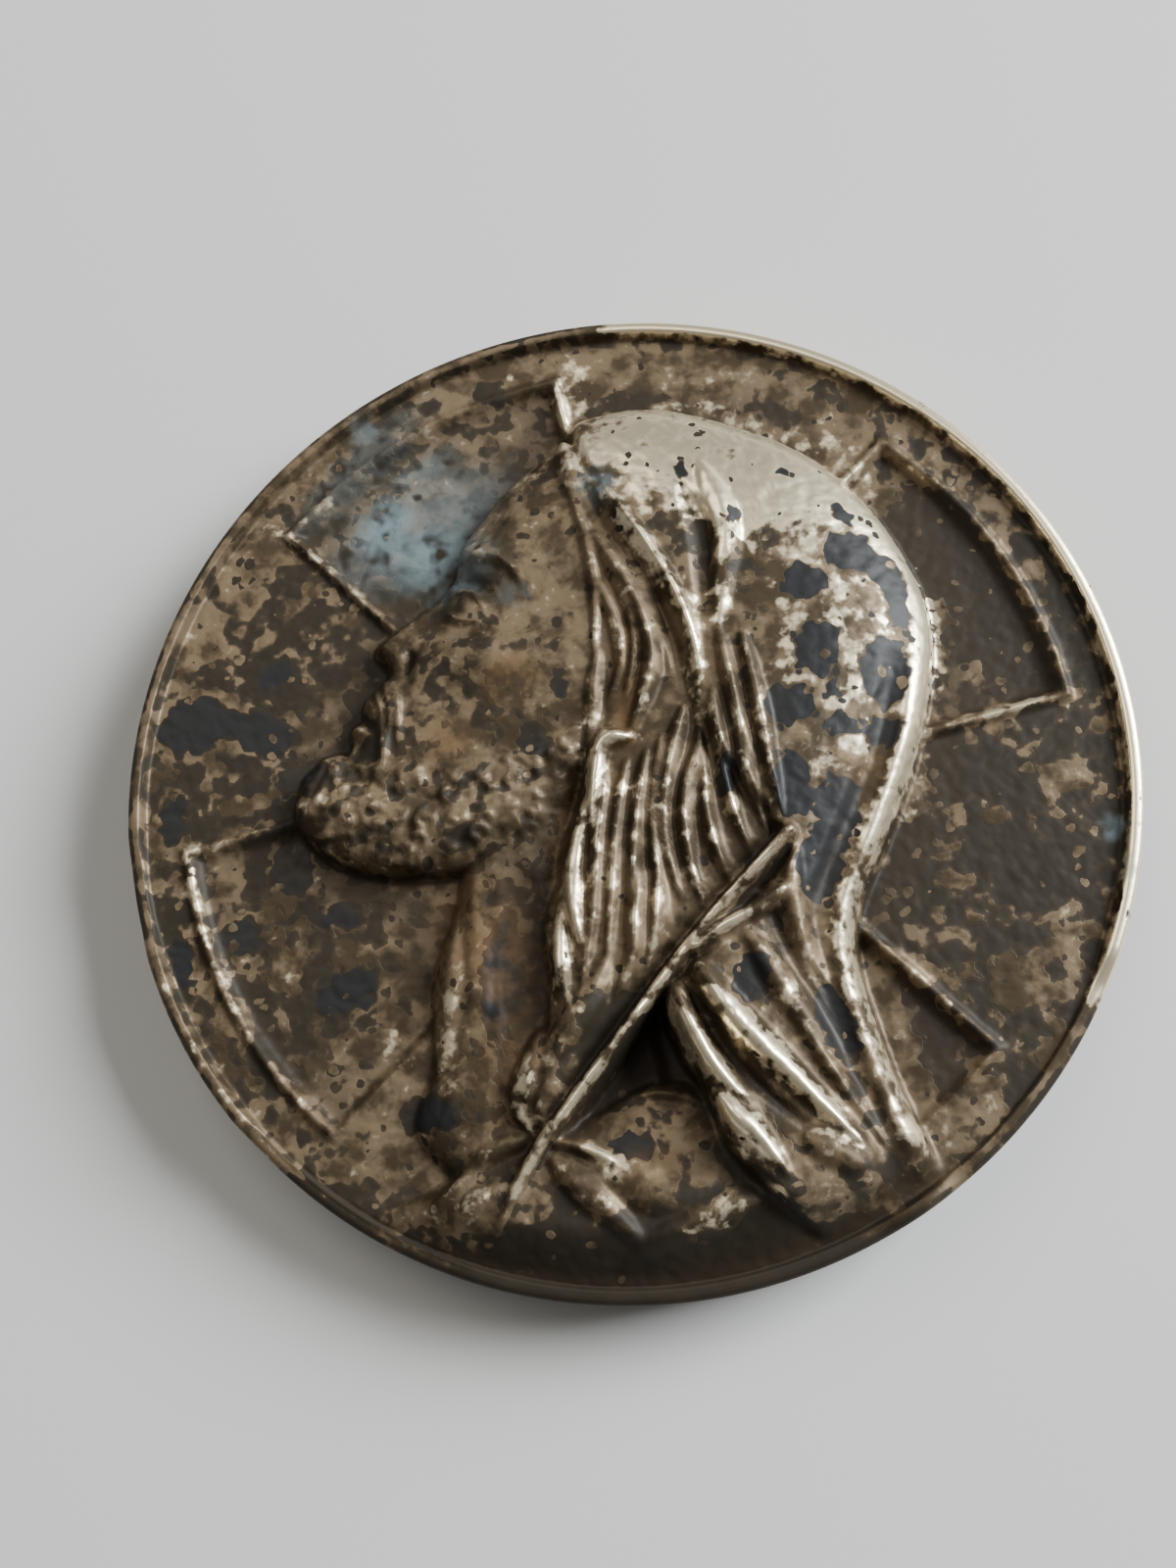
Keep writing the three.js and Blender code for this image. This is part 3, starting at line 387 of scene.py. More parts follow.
TARNISH_AND_SHADOW_PATCHES = (
    (0.75, 0.05, 0.28, 0.75, 0, 0.15), (0.31, 0.45, 0.05, 0.05, 0, 0.3),
    (0.17, 0.47, 0.03, 0.07, 0, 0.35), (0.24, 0.39, 0.035, 0.025, 0, 0.6),
    (0.18, -0.96, 0.5, 0.12, 0, 0.95), (-0.75, 0.05, 0.22, 0.45, 0, 0.2),
    (-0.63, 0, 0.09, 0.04, 10, 0.6), (-0.71, 0.23, 0.06, 0.05, 0, 0.6),
    (-0.84, 0.23, 0.04, 0.03, 0, 0.45), (-0.89, -0.06, 0.035, 0.045, 0, 0.6),
    (-0.9, -0.28, 0.03, 0.05, 0, 0.6), (-0.87, -0.38, 0.025, 0.08, 15, 0.6),
    (-0.76, -0.32, 0.055, 0.045, 0, 0.6), (-0.54, -0.42, 0.09, 0.08, 0, 0.6),
    (-0.7, -0.51, 0.03, 0.08, 10, 0.52), (-0.56, -0.27, 0.08, 0.03, 0, 0.6),
    (-0.23, -0.41, 0.035, 0.18, 0, 0.6), (-0.36, -0.66, 0.09, 0.045, 0, 0.68),
    (-0.54, -0.82, 0.1, 0.04, -30, 0.45), (-0.27, 0.86, 0.045, 0.04, 0, 0.6),
    # Both patches on the next line are a painted shadow just outside the hood's top contour
    (0.02, 0.82, 0.12, 0.025, 5, 0.6), (0.33, 0.77, 0.12, 0.04, -25, 0.6),
    (0.72, 0.34, 0.08, 0.24, 20, 0.52), (0.61, 0.45, 0.06, 0.12, 30, 0.45),
    (0.82, 0.63, 0.12, 0.04, -45, 0.45), (0.69, -0.02, 0.12, 0.06, 0, 0.45),
    (0.56, -0.18, 0.04, 0.12, 0, 0.45), (0.77, -0.2, 0.12, 0.08, 0, 0.52),
    (0.59, -0.56, 0.04, 0.12, 20, 0.45), (0.01, -0.52, 0.08, 0.09, 40, 0.75),
    (0.03, -0.73, 0.07, 0.05, 0, 0.6), (0.23, -0.8, 0.12, 0.05, 0, 0.45),
    (-0.13, -0.91, 0.1, 0.06, 0, 0.6), (0.47, -0.77, 0.08, 0.04, 0, 0.52),
    (0.12, 0.47, 0.027, 0.1, 20, 0.25),
)
# Islands of thick slate-coloured film
FILM_ISLANDS = (
    (0.37, 0.35, 0.055, 0.05, 0, 1), (0.46, 0.42, 0.06, 0.055, 30, 1),
    (0.53, 0.38, 0.04, 0.035, 0, 1), (0.55, 0.305, 0.027, 0.06, 0, 1),
    (0.52, 0.17, 0.06, 0.08, -15, 1), (0.39, 0.215, 0.055, 0.07, 0, 1),
    (0.33, 0.1, 0.055, 0.05, 0, 1), (0.42, 0.125, 0.025, 0.025, 0, 1),
    (0.515, 0.05, 0.05, 0.035, 0, 1), (0.43, 0.06, 0.04, 0.03, 0, 1),
    (0.335, -0.055, 0.04, 0.08, 0, 1), (0.42, -0.095, 0.05, 0.08, 0, 1),
    (0.38, -0.21, 0.05, 0.08, -10, 1), (0.25, -0.42, 0.045, 0.06, 0, 0.9),
    (0.4, -0.5, 0.04, 0.09, 25, 0.9), (0.13, 0.61, 0.02, 0.02, 0, 1), (0.24, 0.5, 0.02, 0.02, 0, 1),
    (0.34, 0.6, 0.02, 0.015, 0, 0.9), (0.45, 0.51, 0.04, 0.02, -40, 0.8),
    (0.21, -0.04, 0.035, 0.07, 0, 0.7), (-0.16, 0.05, 0.06, 0.05, 0, 0.6),
    (-0.11, 0.17, 0.03, 0.05, 0, 0.6), (-0.88, 0.13, 0.09, 0.07, 20, 0.9),
    (-0.73, 0.11, 0.09, 0.05, -20, 0.9), (-0.66, -0.17, 0.05, 0.07, 0, 0.9),
    (-0.76, -0.31, 0.05, 0.045, 0, 0.9), (-0.54, -0.42, 0.08, 0.05, 30, 0.9),
    (-0.91, -0.07, 0.035, 0.06, 0, 0.9), (-0.64, 0.01, 0.07, 0.03, 10, 0.9),
    (-0.71, 0.24, 0.05, 0.035, 40, 0.8), (-0.36, -0.66, 0.08, 0.045, 0, 0.8),
    (-0.24, -0.42, 0.03, 0.14, 0, 0.8), (-0.56, -0.27, 0.06, 0.03, 0, 0.8),
    (0.02, -0.72, 0.05, 0.03, 0, 0.8), (-0.87, -0.36, 0.025, 0.08, 15, 0.8),
)
# Areas rubbed to a pale shine (above 0), or duller than their height would make them (below 0)
# Along the hood's right contour the pale shine is partly a painted highlight where the window light
# falls
POLISH_AND_HIGHLIGHT_AREAS = (
    (0.2, 0.64, 0.36, 0.17, -14, 0.55), (0.28, 0.5, 0.16, 0.1, -20, 0.25),
    (0.4, 0.57, 0.14, 0.06, -40, 0.3), (0.54, 0.46, 0.11, 0.04, -50, 0.7),
    (0.61, 0.28, 0.04, 0.16, 0, 0.8), (0.585, 0.06, 0.04, 0.16, -12, 0.4),
    (0.5, -0.13, 0.035, 0.14, -22, 0.3), (0.43, -0.3, 0.05, 0.12, 0, 0.2),
    (0.46, -0.48, 0.06, 0.12, 12, 0.12), (0.53, -0.66, 0.06, 0.14, 20, 0.08),
    (0.44, 0.22, 0.13, 0.22, 0, 0.15), (0.3, -0.5, 0.06, 0.06, 0, 0.15),
    (0.21, 0.33, 0.025, 0.1, 0, 0.4), (0.08, 0.4, 0.16, 0.03, -57, 0.45),
    (0.15, 0.2, 0.025, 0.1, 0, 0.35), (-0.09, -0.28, 0.04, 0.2, -10, 0.35),
    (-0.05, 0, 0.03, 0.14, 0, 0.3), (-0.175, -0.63, 0.03, 0.09, 0, 0.25),
    (0.3, -0.58, 0.2, 0.025, -46, 0.4), (0.24, -0.7, 0.1, 0.035, -45, 0.4),
    (0.16, -0.56, 0.12, 0.03, -55, 0.3), (0.06, -0.43, 0.4, 0.03, 52, 0.2),
    (-0.65, 0.5, 0.12, 0.03, -40, 0.25), (-0.64, 0.59, 0.07, 0.03, 45, 0.12),
    (-0.86, -0.17, 0.03, 0.1, 0, 0.3), (-0.8, -0.34, 0.03, 0.16, 20, 0.2),
    (0.74, 0.12, 0.13, 0.03, 15, 0.25), (-0.1, 0.83, 0.05, 0.08, 0, 0.3),
    (-0.02, -0.75, 0.06, 0.03, -40, 0.3), (0.19, -0.84, 0.07, 0.03, 30, 0.3),
    (0.86, 0.35, 0.03, 0.22, 20, -0.4), (0.63, -0.38, 0.16, 0.04, -40, -0.15),
)
# Wider tints of slate, then verdigris and a thin warm film, reddish on the cheek and golden on the
# neck and between the locks
SLATE_TINTS = (
    (-0.78, 0.1, 0.22, 0.16, 0, 0.35), (-0.6, -0.35, 0.22, 0.3, 0, 0.3),
    (-0.4, 0.56, 0.16, 0.12, 40, 0.8), (0.42, 0.1, 0.2, 0.5, 0, 0.7), (0.8, -0.3, 0.2, 0.3, 0, 0.3),
    (0.1, -0.75, 0.3, 0.12, 0, 0.4),
)
VERDIGRIS = (
    (-0.5, 0.56, 0.07, 0.05, 40, 0.7), (-0.36, 0.46, 0.12, 0.08, -20, 0.8),
    (-0.55, 0.78, 0.03, 0.03, 0, 0.6), (-0.41, 0.7, 0.08, 0.03, 30, 0.4),
    (0.94, -0.13, 0.02, 0.025, 0, 0.9), (0.96, -0.21, 0.012, 0.025, 0, 0.7),
    (-0.04, 0.59, 0.04, 0.05, 0, 0.8), (-0.21, 0.36, 0.04, 0.03, 0, 0.3),
    (-0.42, 0.56, 0.2, 0.12, 30, 0.6), (-0.55, 0.7, 0.2, 0.05, 45, 0.3),
)
WARM_TINTS = (
    (-0.21, 0.18, 0.07, 0.05, 20, 0.8), (-0.33, 0.06, 0.06, 0.06, 0, 0.5),
    (0.02, 0.12, 0.03, 0.16, 0, 0.7), (-0.3, -0.3, 0.08, 0.12, 0, 0.6),
    (-0.21, -0.46, 0.07, 0.22, 0, 0.6), (-0.1, -0.2, 0.04, 0.16, 0, 0.5),
    (0.06, -0.76, 0.06, 0.05, 0, 0.4), (0.47, -0.01, 0.06, 0.05, 0, 0.3),
)


def smooth(value):
    value = np.clip(value, 0, 1)
    return value * value * (3 - 2 * value)


def domed(value):
    return np.sqrt(1 - (1 - np.clip(value, 0, 1)) ** 2)


def ridge(value):
    return 1 - np.clip(np.abs(value), 0, 1) ** 2


def on_medal(rows):
    return np.array(rows) * medal_radius


def on_head(rows):
    forward, up = (np.array(rows) - (0, 0.5)).T * head_height
    x = head_middle[0] - forward * math.cos(head_tilt) + up * math.sin(head_tilt)
    y = head_middle[1] + forward * math.sin(head_tilt) + up * math.cos(head_tilt)
    return np.stack((x, y), axis=1)


def spline(points, closed=False):
    """A smooth line through the points, the same Catmull-Rom curve as the solid's."""
    count = len(points)
    if closed:
        held = np.concatenate((points[-1:], points, points[:2]))
        spans = count
    else:
        before, after = 2 * points[:1] - points[1:2], 2 * points[-1:] - points[-2:-1]
        held = np.concatenate((before, points, after))
        spans = count - 1
    t = (np.arange(curve_steps) / curve_steps)[None, :, None]
    a, b, c, d = (held[i:i + spans, None, :] for i in range(4))
    line = 0.5 * (2 * b + (c - a) * t + (2 * a - 5 * b + 4 * c - d) * t ** 2
                  + (3 * b - a - 3 * c + d) * t ** 3)
    return np.concatenate((line.reshape(-1, 2), held[spans + 1:spans + 2]))


def nearest(line, x, y):
    """Distance to a line of points, side-signed distance, and the share of the line gone."""
    best = np.full(x.shape, np.inf)
    side = np.zeros(x.shape)
    along = np.zeros(x.shape)
    for i, (start, end) in enumerate(zip(line[:-1], line[1:])):
        dx, dy = end - start
        length2 = dx * dx + dy * dy or 1.0
        step = np.clip(((x - start[0]) * dx + (y - start[1]) * dy) / length2, 0, 1)
        east = x - start[0] - step * dx
        north = y - start[1] - step * dy
        distance2 = east * east + north * north
        nearer = distance2 < best
        best = np.where(nearer, distance2, best)
        side = np.where(nearer, (dx * north - dy * east) / math.sqrt(length2), side)
        along = np.where(nearer, (i + step) / (len(line) - 1), along)
    return np.sqrt(best), side, along


def is_inside(loop, x, y):
    inside = np.zeros(x.shape, bool)
    for (ax, ay), (bx, by) in zip(loop, np.roll(loop, -1, axis=0)):
        if ay != by:
            inside ^= ((ay > y) != (by > y)) & (x < ax + (y - ay) / (by - ay) * (bx - ax))
    return inside


# The face's heights are worked out on a square grid, and each form only where it reaches
grid_line = np.arange(-medal_radius, medal_radius + height_pitch, height_pitch)
GRID_X, GRID_Y = np.meshgrid(grid_line, grid_line)


def window(points, margin):
    """The part of the grid round some points, as a pair of slices."""
    low = points.min(axis=0) - margin
    high = points.max(axis=0) + margin
    first = np.clip(((low + medal_radius) / height_pitch).astype(int), 0, len(grid_line))
    last = np.clip(((high + medal_radius) / height_pitch).astype(int) + 2, 0, len(grid_line))
    return slice(first[1], last[1]), slice(first[0], last[0])


def blurred(height, reach):
    """The heights averaged over a soft disc, by multiplying their waves."""
    wave = np.fft.fftfreq(height.shape[0], height_pitch)
    fall = np.exp(-2 * (math.pi * reach * wave) ** 2)
    return np.fft.ifft2(np.fft.fft2(height) * fall[:, None] * fall[None, :]).real


def form_height(loop, relief, rounding, soft_reach=0.0):
    """A domed form inside a loop, whose inner part can be softened, and the depth inside it."""
    depth = np.zeros(GRID_X.shape)
    part = window(loop, 0.1)
    x, y = GRID_X[part], GRID_Y[part]
    depth[part] = np.where(is_inside(loop, x, y), nearest(loop, x, y)[0], 0)
    height = relief * domed(depth / rounding)
    if soft_reach:
        height += (blurred(height, soft_reach) - height) * smooth(depth / rounding * soft_fade)
    return height, depth


def stroke_height(rows, place, width, rise_unit):
    """A group of strokes: their height, the flow beside them and the distance to the nearest."""
    raised = np.zeros(GRID_X.shape)
    cut = np.zeros(GRID_X.shape)
    closest = np.full(GRID_X.shape, np.inf)
    flow = np.zeros(GRID_X.shape)
    for *points, wide, rise in rows:
        line = spline(place(points))
        part = window(line, stroke_window * width)
        distance, side, along = nearest(line, GRID_X[part], GRID_Y[part])
        taper = np.maximum(np.sin(math.pi * along ** stroke_bend), 0) ** stroke_power
        reach = wide * width / 2 * np.maximum(taper, stroke_least)
        height = rise * rise_unit * ridge(distance / reach) * taper
        raised[part] = np.maximum(raised[part], height)
        cut[part] = np.minimum(cut[part], height)
        nearer = distance < closest[part]
        flow[part] = np.where(nearer, side / (flow_spread + (1 - flow_spread) * taper), flow[part])
        closest[part] = np.where(nearer, distance, closest[part])
    return raised + cut, flow, closest


def cord_heights():
    """Cords as round ridges that keep their own level over what is below, and their crests."""
    height = np.zeros(GRID_X.shape)
    crest = np.zeros(GRID_X.shape)
    for *points, wide, first, last in CORDS:
        line = spline(on_medal(points))
        part = window(line, cord_width)
        distance, _, along = nearest(line, GRID_X[part], GRID_Y[part])
        share = distance / (wide * cord_width / 2)
        drop = cord_height * (1 - domed(1 - share)) + cord_skirt * np.maximum(share - 1, 0)
        level = cord_level * (first + (last - first) * along) - drop
        height[part] = np.where(share < cord_reach, np.maximum(height[part], level), height[part])
        crest[part] = np.maximum(crest[part], smooth((cord_crest_end - share) / cord_crest_fade))
    return height, crest


def waver(spacing, turn=0.7):
    """An uneven field between 0 and 1 that comes and goes about every spacing. Each of its two
    waves is bent by the other at an odd rate, so that they never fall in step."""
    u = 2 * math.pi / spacing * (GRID_X * math.cos(turn) + GRID_Y * math.sin(turn))
    v = 2 * math.pi / spacing * (GRID_Y * math.cos(turn) - GRID_X * math.sin(turn))
    return (0.5 + 0.25 * np.sin(u + 1.3 * np.sin(0.61 * v))
            + 0.25 * np.sin(v + 1.7 * np.sin(0.73 * u)))


def mantle_height():
    """Hood and mantle: domed from their contour, with a rolled edge in front and a raised hem."""
    contour = spline(on_medal(MANTLE_CONTOUR))
    edge = spline(on_medal(MANTLE_EDGE))
    loop = np.concatenate((contour, edge[::-1]))
    inside = is_inside(loop, GRID_X, GRID_Y)
    from_contour = nearest(contour, GRID_X, GRID_Y)[0]
    from_edge = nearest(edge, GRID_X, GRID_Y)[0]
    start = smooth((hem_start * medal_radius - GRID_Y) / (hem_fade * medal_radius))
    across = from_contour / hem_width
    hem = (ridge((across - hem_half) / hem_half)
           - hem_groove_depth * ridge((across - hem_groove_place) / hem_half) ** 2)
    height = mantle_relief * domed(from_contour / mantle_rounding) + hem_height * start * hem
    return np.where(inside, height * domed(from_edge / edge_roll), 0)


def arm_height():
    """Arms of the nimbus: sunk, with a raised border on their two sides and their outer arc."""
    outer = medal_radius - arm_from_rim
    quarter = math.pi / 2
    angle = np.arctan2(GRID_Y, GRID_X) - arm_turn
    arm = np.round(angle / quarter)
    offset = angle - quarter * arm
    radius = np.hypot(GRID_X, GRID_Y)
    along = radius * np.cos(offset)
    half_width = (outer * math.sin(arm_half_angle)
                  + (along - outer * math.cos(arm_half_angle)) * math.tan(arm_flare))
    before = (half_width + radius * np.sin(offset)) * math.cos(arm_flare)
    after = (half_width - radius * np.sin(offset)) * math.cos(arm_flare)
    depths = np.stack((before, outer - radius, after))
    depth = depths.min(axis=0)
    rise = np.array(ARM_BORDERS)[arm.astype(int) % 4, depths.argmin(axis=0)]
    from_corner = np.minimum(before, after) / arm_corner_length
    at_corner = smooth(arm_corner_fade - from_corner) * (depth == depths[1])
    rise = blurred(np.maximum(rise, arm_corner_rise * at_corner), border_blend)
    rise *= 1 - border_waver + border_waver * waver(border_waver_spacing)
    return (border_height * rise * ridge(depth / (border_width / 2))
            - arm_sink * smooth(depth / border_width))


def face_modelling():
    """Swellings, hollows and fine lines of the face, on shares of the head's own height."""
    east = GRID_X - head_middle[0]
    north = GRID_Y - head_middle[1]
    forward = (-east * math.cos(head_tilt) + north * math.sin(head_tilt)) / head_height
    up = (east * math.sin(head_tilt) + north * math.cos(head_tilt)) / head_height + 0.5
    height = np.zeros(GRID_X.shape)
    for at_forward, at_up, long, high, turn, rise in FACE_SWELLINGS:
        cos, sin = math.cos(math.radians(turn)), math.sin(math.radians(turn))
        u = ((forward - at_forward) * cos + (up - at_up) * sin) / long
        v = ((up - at_up) * cos - (forward - at_forward) * sin) / high
        height += feature_height * rise * np.exp(-swelling_fall * (u * u + v * v))
    return height + stroke_height(FACE_LINES, on_head, feature_width, feature_height)[0]


def beard_curls():
    """Small spiral curls in wandering rows between the beard's upper and lower edge."""
    draw = np.random.default_rng(4)
    upper, lower = spline(on_head(BEARD_UPPER)), spline(on_head(BEARD_LOWER))
    height = np.zeros(GRID_X.shape)
    for row in range(curl_rows):
        for i in range(curls_in_row):
            along = (i + 0.5 * (row % 2) + draw.uniform(0.0, 0.6)) / curls_in_row
            down = (row + draw.uniform(0.0, 0.9)) / curl_rows
            step = min(int(along * (len(upper) - 1)), len(upper) - 1)
            middle = upper[step] + (lower[step] - upper[step]) * down
            size = curl_diameter * draw.uniform(0.7, 1.2)
            part = window(middle[None], size)
            east = GRID_X[part] - middle[0]
            north = GRID_Y[part] - middle[1]
            share = np.hypot(east, north) / (size / 2)
            turn = (draw.choice((-1, 1)) * np.arctan2(north, east)
                    + curl_winding * share + draw.uniform(0, 6.3))
            knob = ridge(share) * (0.62 + 0.38 * np.cos(turn)) * draw.uniform(0.5, 1.1)
            height[part] = np.maximum(height[part], curl_height * knob)
    return height


def face_heights():
    """Height of the face over the field, without the lip, and a map of cord crests and feet."""
    mantle = mantle_height()
    hair, _ = form_height(spline(on_medal(HAIR), True), hair_relief, hair_rounding)
    neck, _ = form_height(spline(on_medal(NECK), True), neck_relief, neck_rounding)
    garment, _ = form_height(spline(on_medal(GARMENT), True), garment_relief, garment_rounding)
    head, _ = form_height(spline(on_head(HEAD), True), face_relief, face_rounding, head_softness)
    beard_loop = np.concatenate((spline(on_head(BEARD_UPPER)), spline(on_head(BEARD_LOWER))[::-1]))
    beard, beard_depth = form_height(beard_loop, beard_relief, beard_rounding, beard_softness)
    figure = np.maximum.reduce((mantle, hair, neck, garment))
    skin = smooth((head - figure) / joint_fade + 0.5) * smooth(head / skin_rise)
    in_hair = (hair >= np.maximum.reduce((mantle, head, neck, garment))) & (hair > strand_least)
    figure = np.maximum(figure, head) + skin * face_modelling()
    whiskers = smooth(beard_depth / whisker_rise) * (hair < curl_most)
    figure = np.maximum(figure, beard) + whiskers * beard_curls()
    raised = smooth(figure / figure_rise)
    locks, flow, apart = stroke_height(LOCKS, on_medal, lock_width, lock_height)
    folds = stroke_height(FOLDS, on_medal, fold_width, fold_height)[0]
    cords, cord_crests = cord_heights()
    strands = strand_height * np.cos(2 * math.pi * flow / strand_pitch)
    strands = np.where(in_hair, strands, 0) * smooth(strand_spread - apart / (lock_width / 2))
    figure = figure + raised * (locks + folds) + strands
    on_cord = smooth((cords - figure) / cord_clearance) * (cord_crests - 0.5)
    figure = np.maximum(figure, cords)
    run_out = smooth((medal_radius - lip_width - np.hypot(GRID_X, GRID_Y)) / relief_run_out)
    return blurred(arm_height() * (1 - raised) + figure * run_out, die_softness), on_cord


# The grid's places moved to and fro, on which the patches of the finish are laid
STIRRED_X, STIRRED_Y = (
    line + patch_stir * (waver(*first) + waver(*second) - 1)
    for line, (first, second) in zip((GRID_X, GRID_Y), patch_waves))


def patches(rows):
    """A soft map of patches with wandering edges, which add up where they overlap."""
    value = np.zeros(GRID_X.shape)
    for x, y, long, wide, turn, strength in rows:
        middle = np.array((x, y)) * medal_radius
        part = window(middle[None], patch_reach * max(long, wide) * medal_radius)
        cos, sin = math.cos(math.radians(turn)), math.sin(math.radians(turn))
        east = STIRRED_X[part] - middle[0]
        north = STIRRED_Y[part] - middle[1]
        share = np.hypot((east * cos + north * sin) / long, (north * cos - east * sin) / wide)
        value[part] += strength * smooth(patch_edge - share / medal_radius)
    return value


def sampled(grid, x, y):
    """A grid's value between its points."""
    u = np.clip((x + medal_radius) / height_pitch, 0, len(grid_line) - 1.001)
    v = np.clip((y + medal_radius) / height_pitch, 0, len(grid_line) - 1.001)
    i, j = u.astype(int), v.astype(int)
    u, v = u - i, v - j
    return ((grid[j, i] * (1 - u) + grid[j, i + 1] * u) * (1 - v)
            + (grid[j + 1, i] * (1 - u) + grid[j + 1, i + 1] * u) * v)


def along_lip(rows, angle):
    """A table's value round the lip, which fades in and out over a few degrees."""
    degrees = np.degrees(angle)
    value = np.zeros(angle.shape)
    for start, end, strength in rows:
        offset = np.abs((degrees - (start + end) / 2 + 180) % 360 - 180)
        inside = (end - start) / 2 - offset
        value += strength * smooth(inside / wear_fade + 0.5)
    return value


def rings():
    """Radius, height, number of points and how far the lip's wear counts, from the middle out."""
    table = [(field_radius * k / face_rings, field_level, sectors * k, 0.0)
             for k in range(1, face_rings + 1)]
    full = sectors * face_rings
    for i in range(1, lip_steps + 1):
        share = i / lip_steps
        rise = lip_height * (0.5 - 0.5 * math.cos(math.pi * share))
        table.append((field_radius + lip_slope * share, field_level + rise, full, share))
    inner = medal_radius - edge_rounding
    top = rim_thickness - edge_rounding
    turns = [math.pi / 2 * i / round_steps for i in range(round_steps + 1)]
    table.append((inner - 0.03, rim_thickness, full, 1.0))
    table.extend((inner + edge_rounding * math.sin(turn),
                  top + edge_rounding * math.cos(turn), full, 1.0) for turn in turns[1:])
    table.append((medal_radius, rim_thickness / 2, full, 0.3))
    table.extend((inner + edge_rounding * math.cos(turn),
                  edge_rounding - edge_rounding * math.sin(turn), full, 0.0) for turn in turns[:-1])
    wall_foot = hollow_radius - hollow_draft
    table.extend((radius, level, full, 0.0) for radius, level in (
        (inner, 0.0),
        (hollow_radius + hollow_chamfer_width, 0.0),
        (hollow_radius, hollow_chamfer_height),
        (wall_foot, hollow_depth - hollow_corner_height),
        (wall_foot - hollow_corner_width, hollow_depth),
    ))
    return table


def ring_faces(table):
    """Triangles between each ring and the next, and the fans at both ends."""
    faces = []
    start, before = 0, 1
    after = 1
    for _, _, points, _ in table:
        grown = 1 if points > before else 0
        per_outer = points // sectors
        per_inner = per_outer - grown
        for sector in range(sectors):
            i = np.arange(per_outer)
            a = after + sector * per_outer + i
            b = after + (sector * per_outer + i + 1) % points
            c = start + (sector * per_inner + i) % before
            d = start + (sector * per_inner + i + 1) % before
            faces.append(np.stack((a, b, c), axis=1))
            keep = i + grown < per_outer
            faces.append(np.stack((b, d, c), axis=1)[keep])
        start, before = after, points
        after += points
    i = np.arange(before)
    floor_middle = np.full(before, after)
    faces.append(np.stack((start + i, floor_middle, start + (i + 1) % before), axis=1))
    return np.concatenate(faces)


def blank_mesh():
    """The blank as one closed mesh in metres, its face still flat."""
    table = rings()
    x, y, z, worn = [0.0], [0.0], [field_level], [0.0]
    for radius, level, points, wear in table:
        angle = 2 * math.pi * np.arange(points) / points
        x.extend(radius * np.cos(angle))
        y.extend(radius * np.sin(angle))
        z.extend(np.full(points, level))
        worn.extend(np.full(points, wear))
    x.append(0.0)
    y.append(0.0)
    z.append(hollow_depth)
    worn.append(0.0)
    spots = np.array((x, y, z)).T
    faces = ring_faces(table)
    mesh = bpy.data.meshes.new("struck_medal_face")
    mesh.from_pydata((spots * MM).tolist(), [], faces.tolist())
    mesh.update()
    return mesh, spots, np.array(worn)


def add_attribute(mesh, name, values):
    attribute = mesh.attributes.new(name, "FLOAT", "POINT")
    attribute.data.foreach_set("value", np.asarray(values, np.float32))


def store_face(mesh, spots, worn):
    """The relief and what the finish follows, as values on the points."""
    height, on_cord = face_heights()
    height *= min(1, (medal_high.z / MM - field_level - surface_play) / height.max())
    x, y, _ = spots.T
    face = np.zeros(len(spots), bool)
    face[:1 + 3 * face_rings * (face_rings + 1)] = True
    angle = np.arctan2(y, x)
    on_top = face | (worn > 0)
    crests = (height - blurred(height, crest_reach)) / crest_full
    forms = (height - blurred(height, form_reach)) / form_full
    spread = patches(FILM_ISLANDS)
    islands = smooth((spread - island_edge) / island_fade)
    shores = ridge((spread - shore_place) / shore_width)
    # The darker table also lays a painted shadow along the hood's top contour
    bare = (patches(BARE_PATCHES) - patches(TARNISH_AND_SHADOW_PATCHES) + on_cord
            - island_cover * islands + shore_bare * shores)
    polish_and_highlight_map = patches(POLISH_AND_HIGHLIGHT_AREAS) * (1 - islands)
    lip_line = np.abs(np.hypot(x, y) - lip_line_place) < lip_line_half
    worn_lip = -lip_height * along_lip(LIP_WEAR, angle) * worn

    def laid(grid, where, elsewhere):
        return np.where(where, sampled(grid, x, y), elsewhere)

    values = {
        "relief": laid(height, face, worn_lip) * MM,
        "crest": np.clip(laid(crests, face, np.where(lip_line, lip_line_crest, lip_crest) * worn),
                         crest_lowest, 1),
        "stand": laid(forms, face, lip_stand * worn),
        "bare": laid(bare, on_top, back_bare) + lip_line_bare * lip_line * worn,
        "slate": laid(patches(SLATE_TINTS) + islands, on_top, 0),
        "verdigris": laid(patches(VERDIGRIS), on_top, 0),
        "warm": laid(patches(WARM_TINTS), on_top, 0),
        # Rubbed shine, and painted highlight along the hood's right contour and on the lip's upper
        # right
        "polish_and_highlight": laid(polish_and_highlight_map, face, along_lip(LIP_HIGHLIGHT_AND_DARK, angle) * worn),
        "face": face,
    }
    for name, value in values.items():
        add_attribute(mesh, name, value)


def new_tree(name, inputs):
    """A Geometry Nodes tree and its inputs: a geometry, then those given as (name, kind, value)."""
    tree = bpy.data.node_groups.new(name, "GeometryNodeTree")
    tree.interface.new_socket("Geometry", in_out="INPUT", socket_type="NodeSocketGeometry")
    tree.interface.new_socket("Geometry", in_out="OUTPUT", socket_type="NodeSocketGeometry")
    for label, kind, value in inputs:
        socket = tree.interface.new_socket(label, in_out="INPUT", socket_type="NodeSocket" + kind)
        socket.default_value = value
    return tree, tree.nodes.new("NodeGroupInput").outputs


def add_node(tree, kind, inputs=(), **settings):
    """A node with its settings, and its inputs linked from sockets or set to values."""
    node = tree.nodes.new(kind)
    for name, value in settings.items():
        setattr(node, name, value)
    for key, value in dict(inputs).items():
        if isinstance(value, bpy.types.NodeSocket):
            tree.links.new(value, node.inputs[key])
        else:
            node.inputs[key].default_value = value
    return node


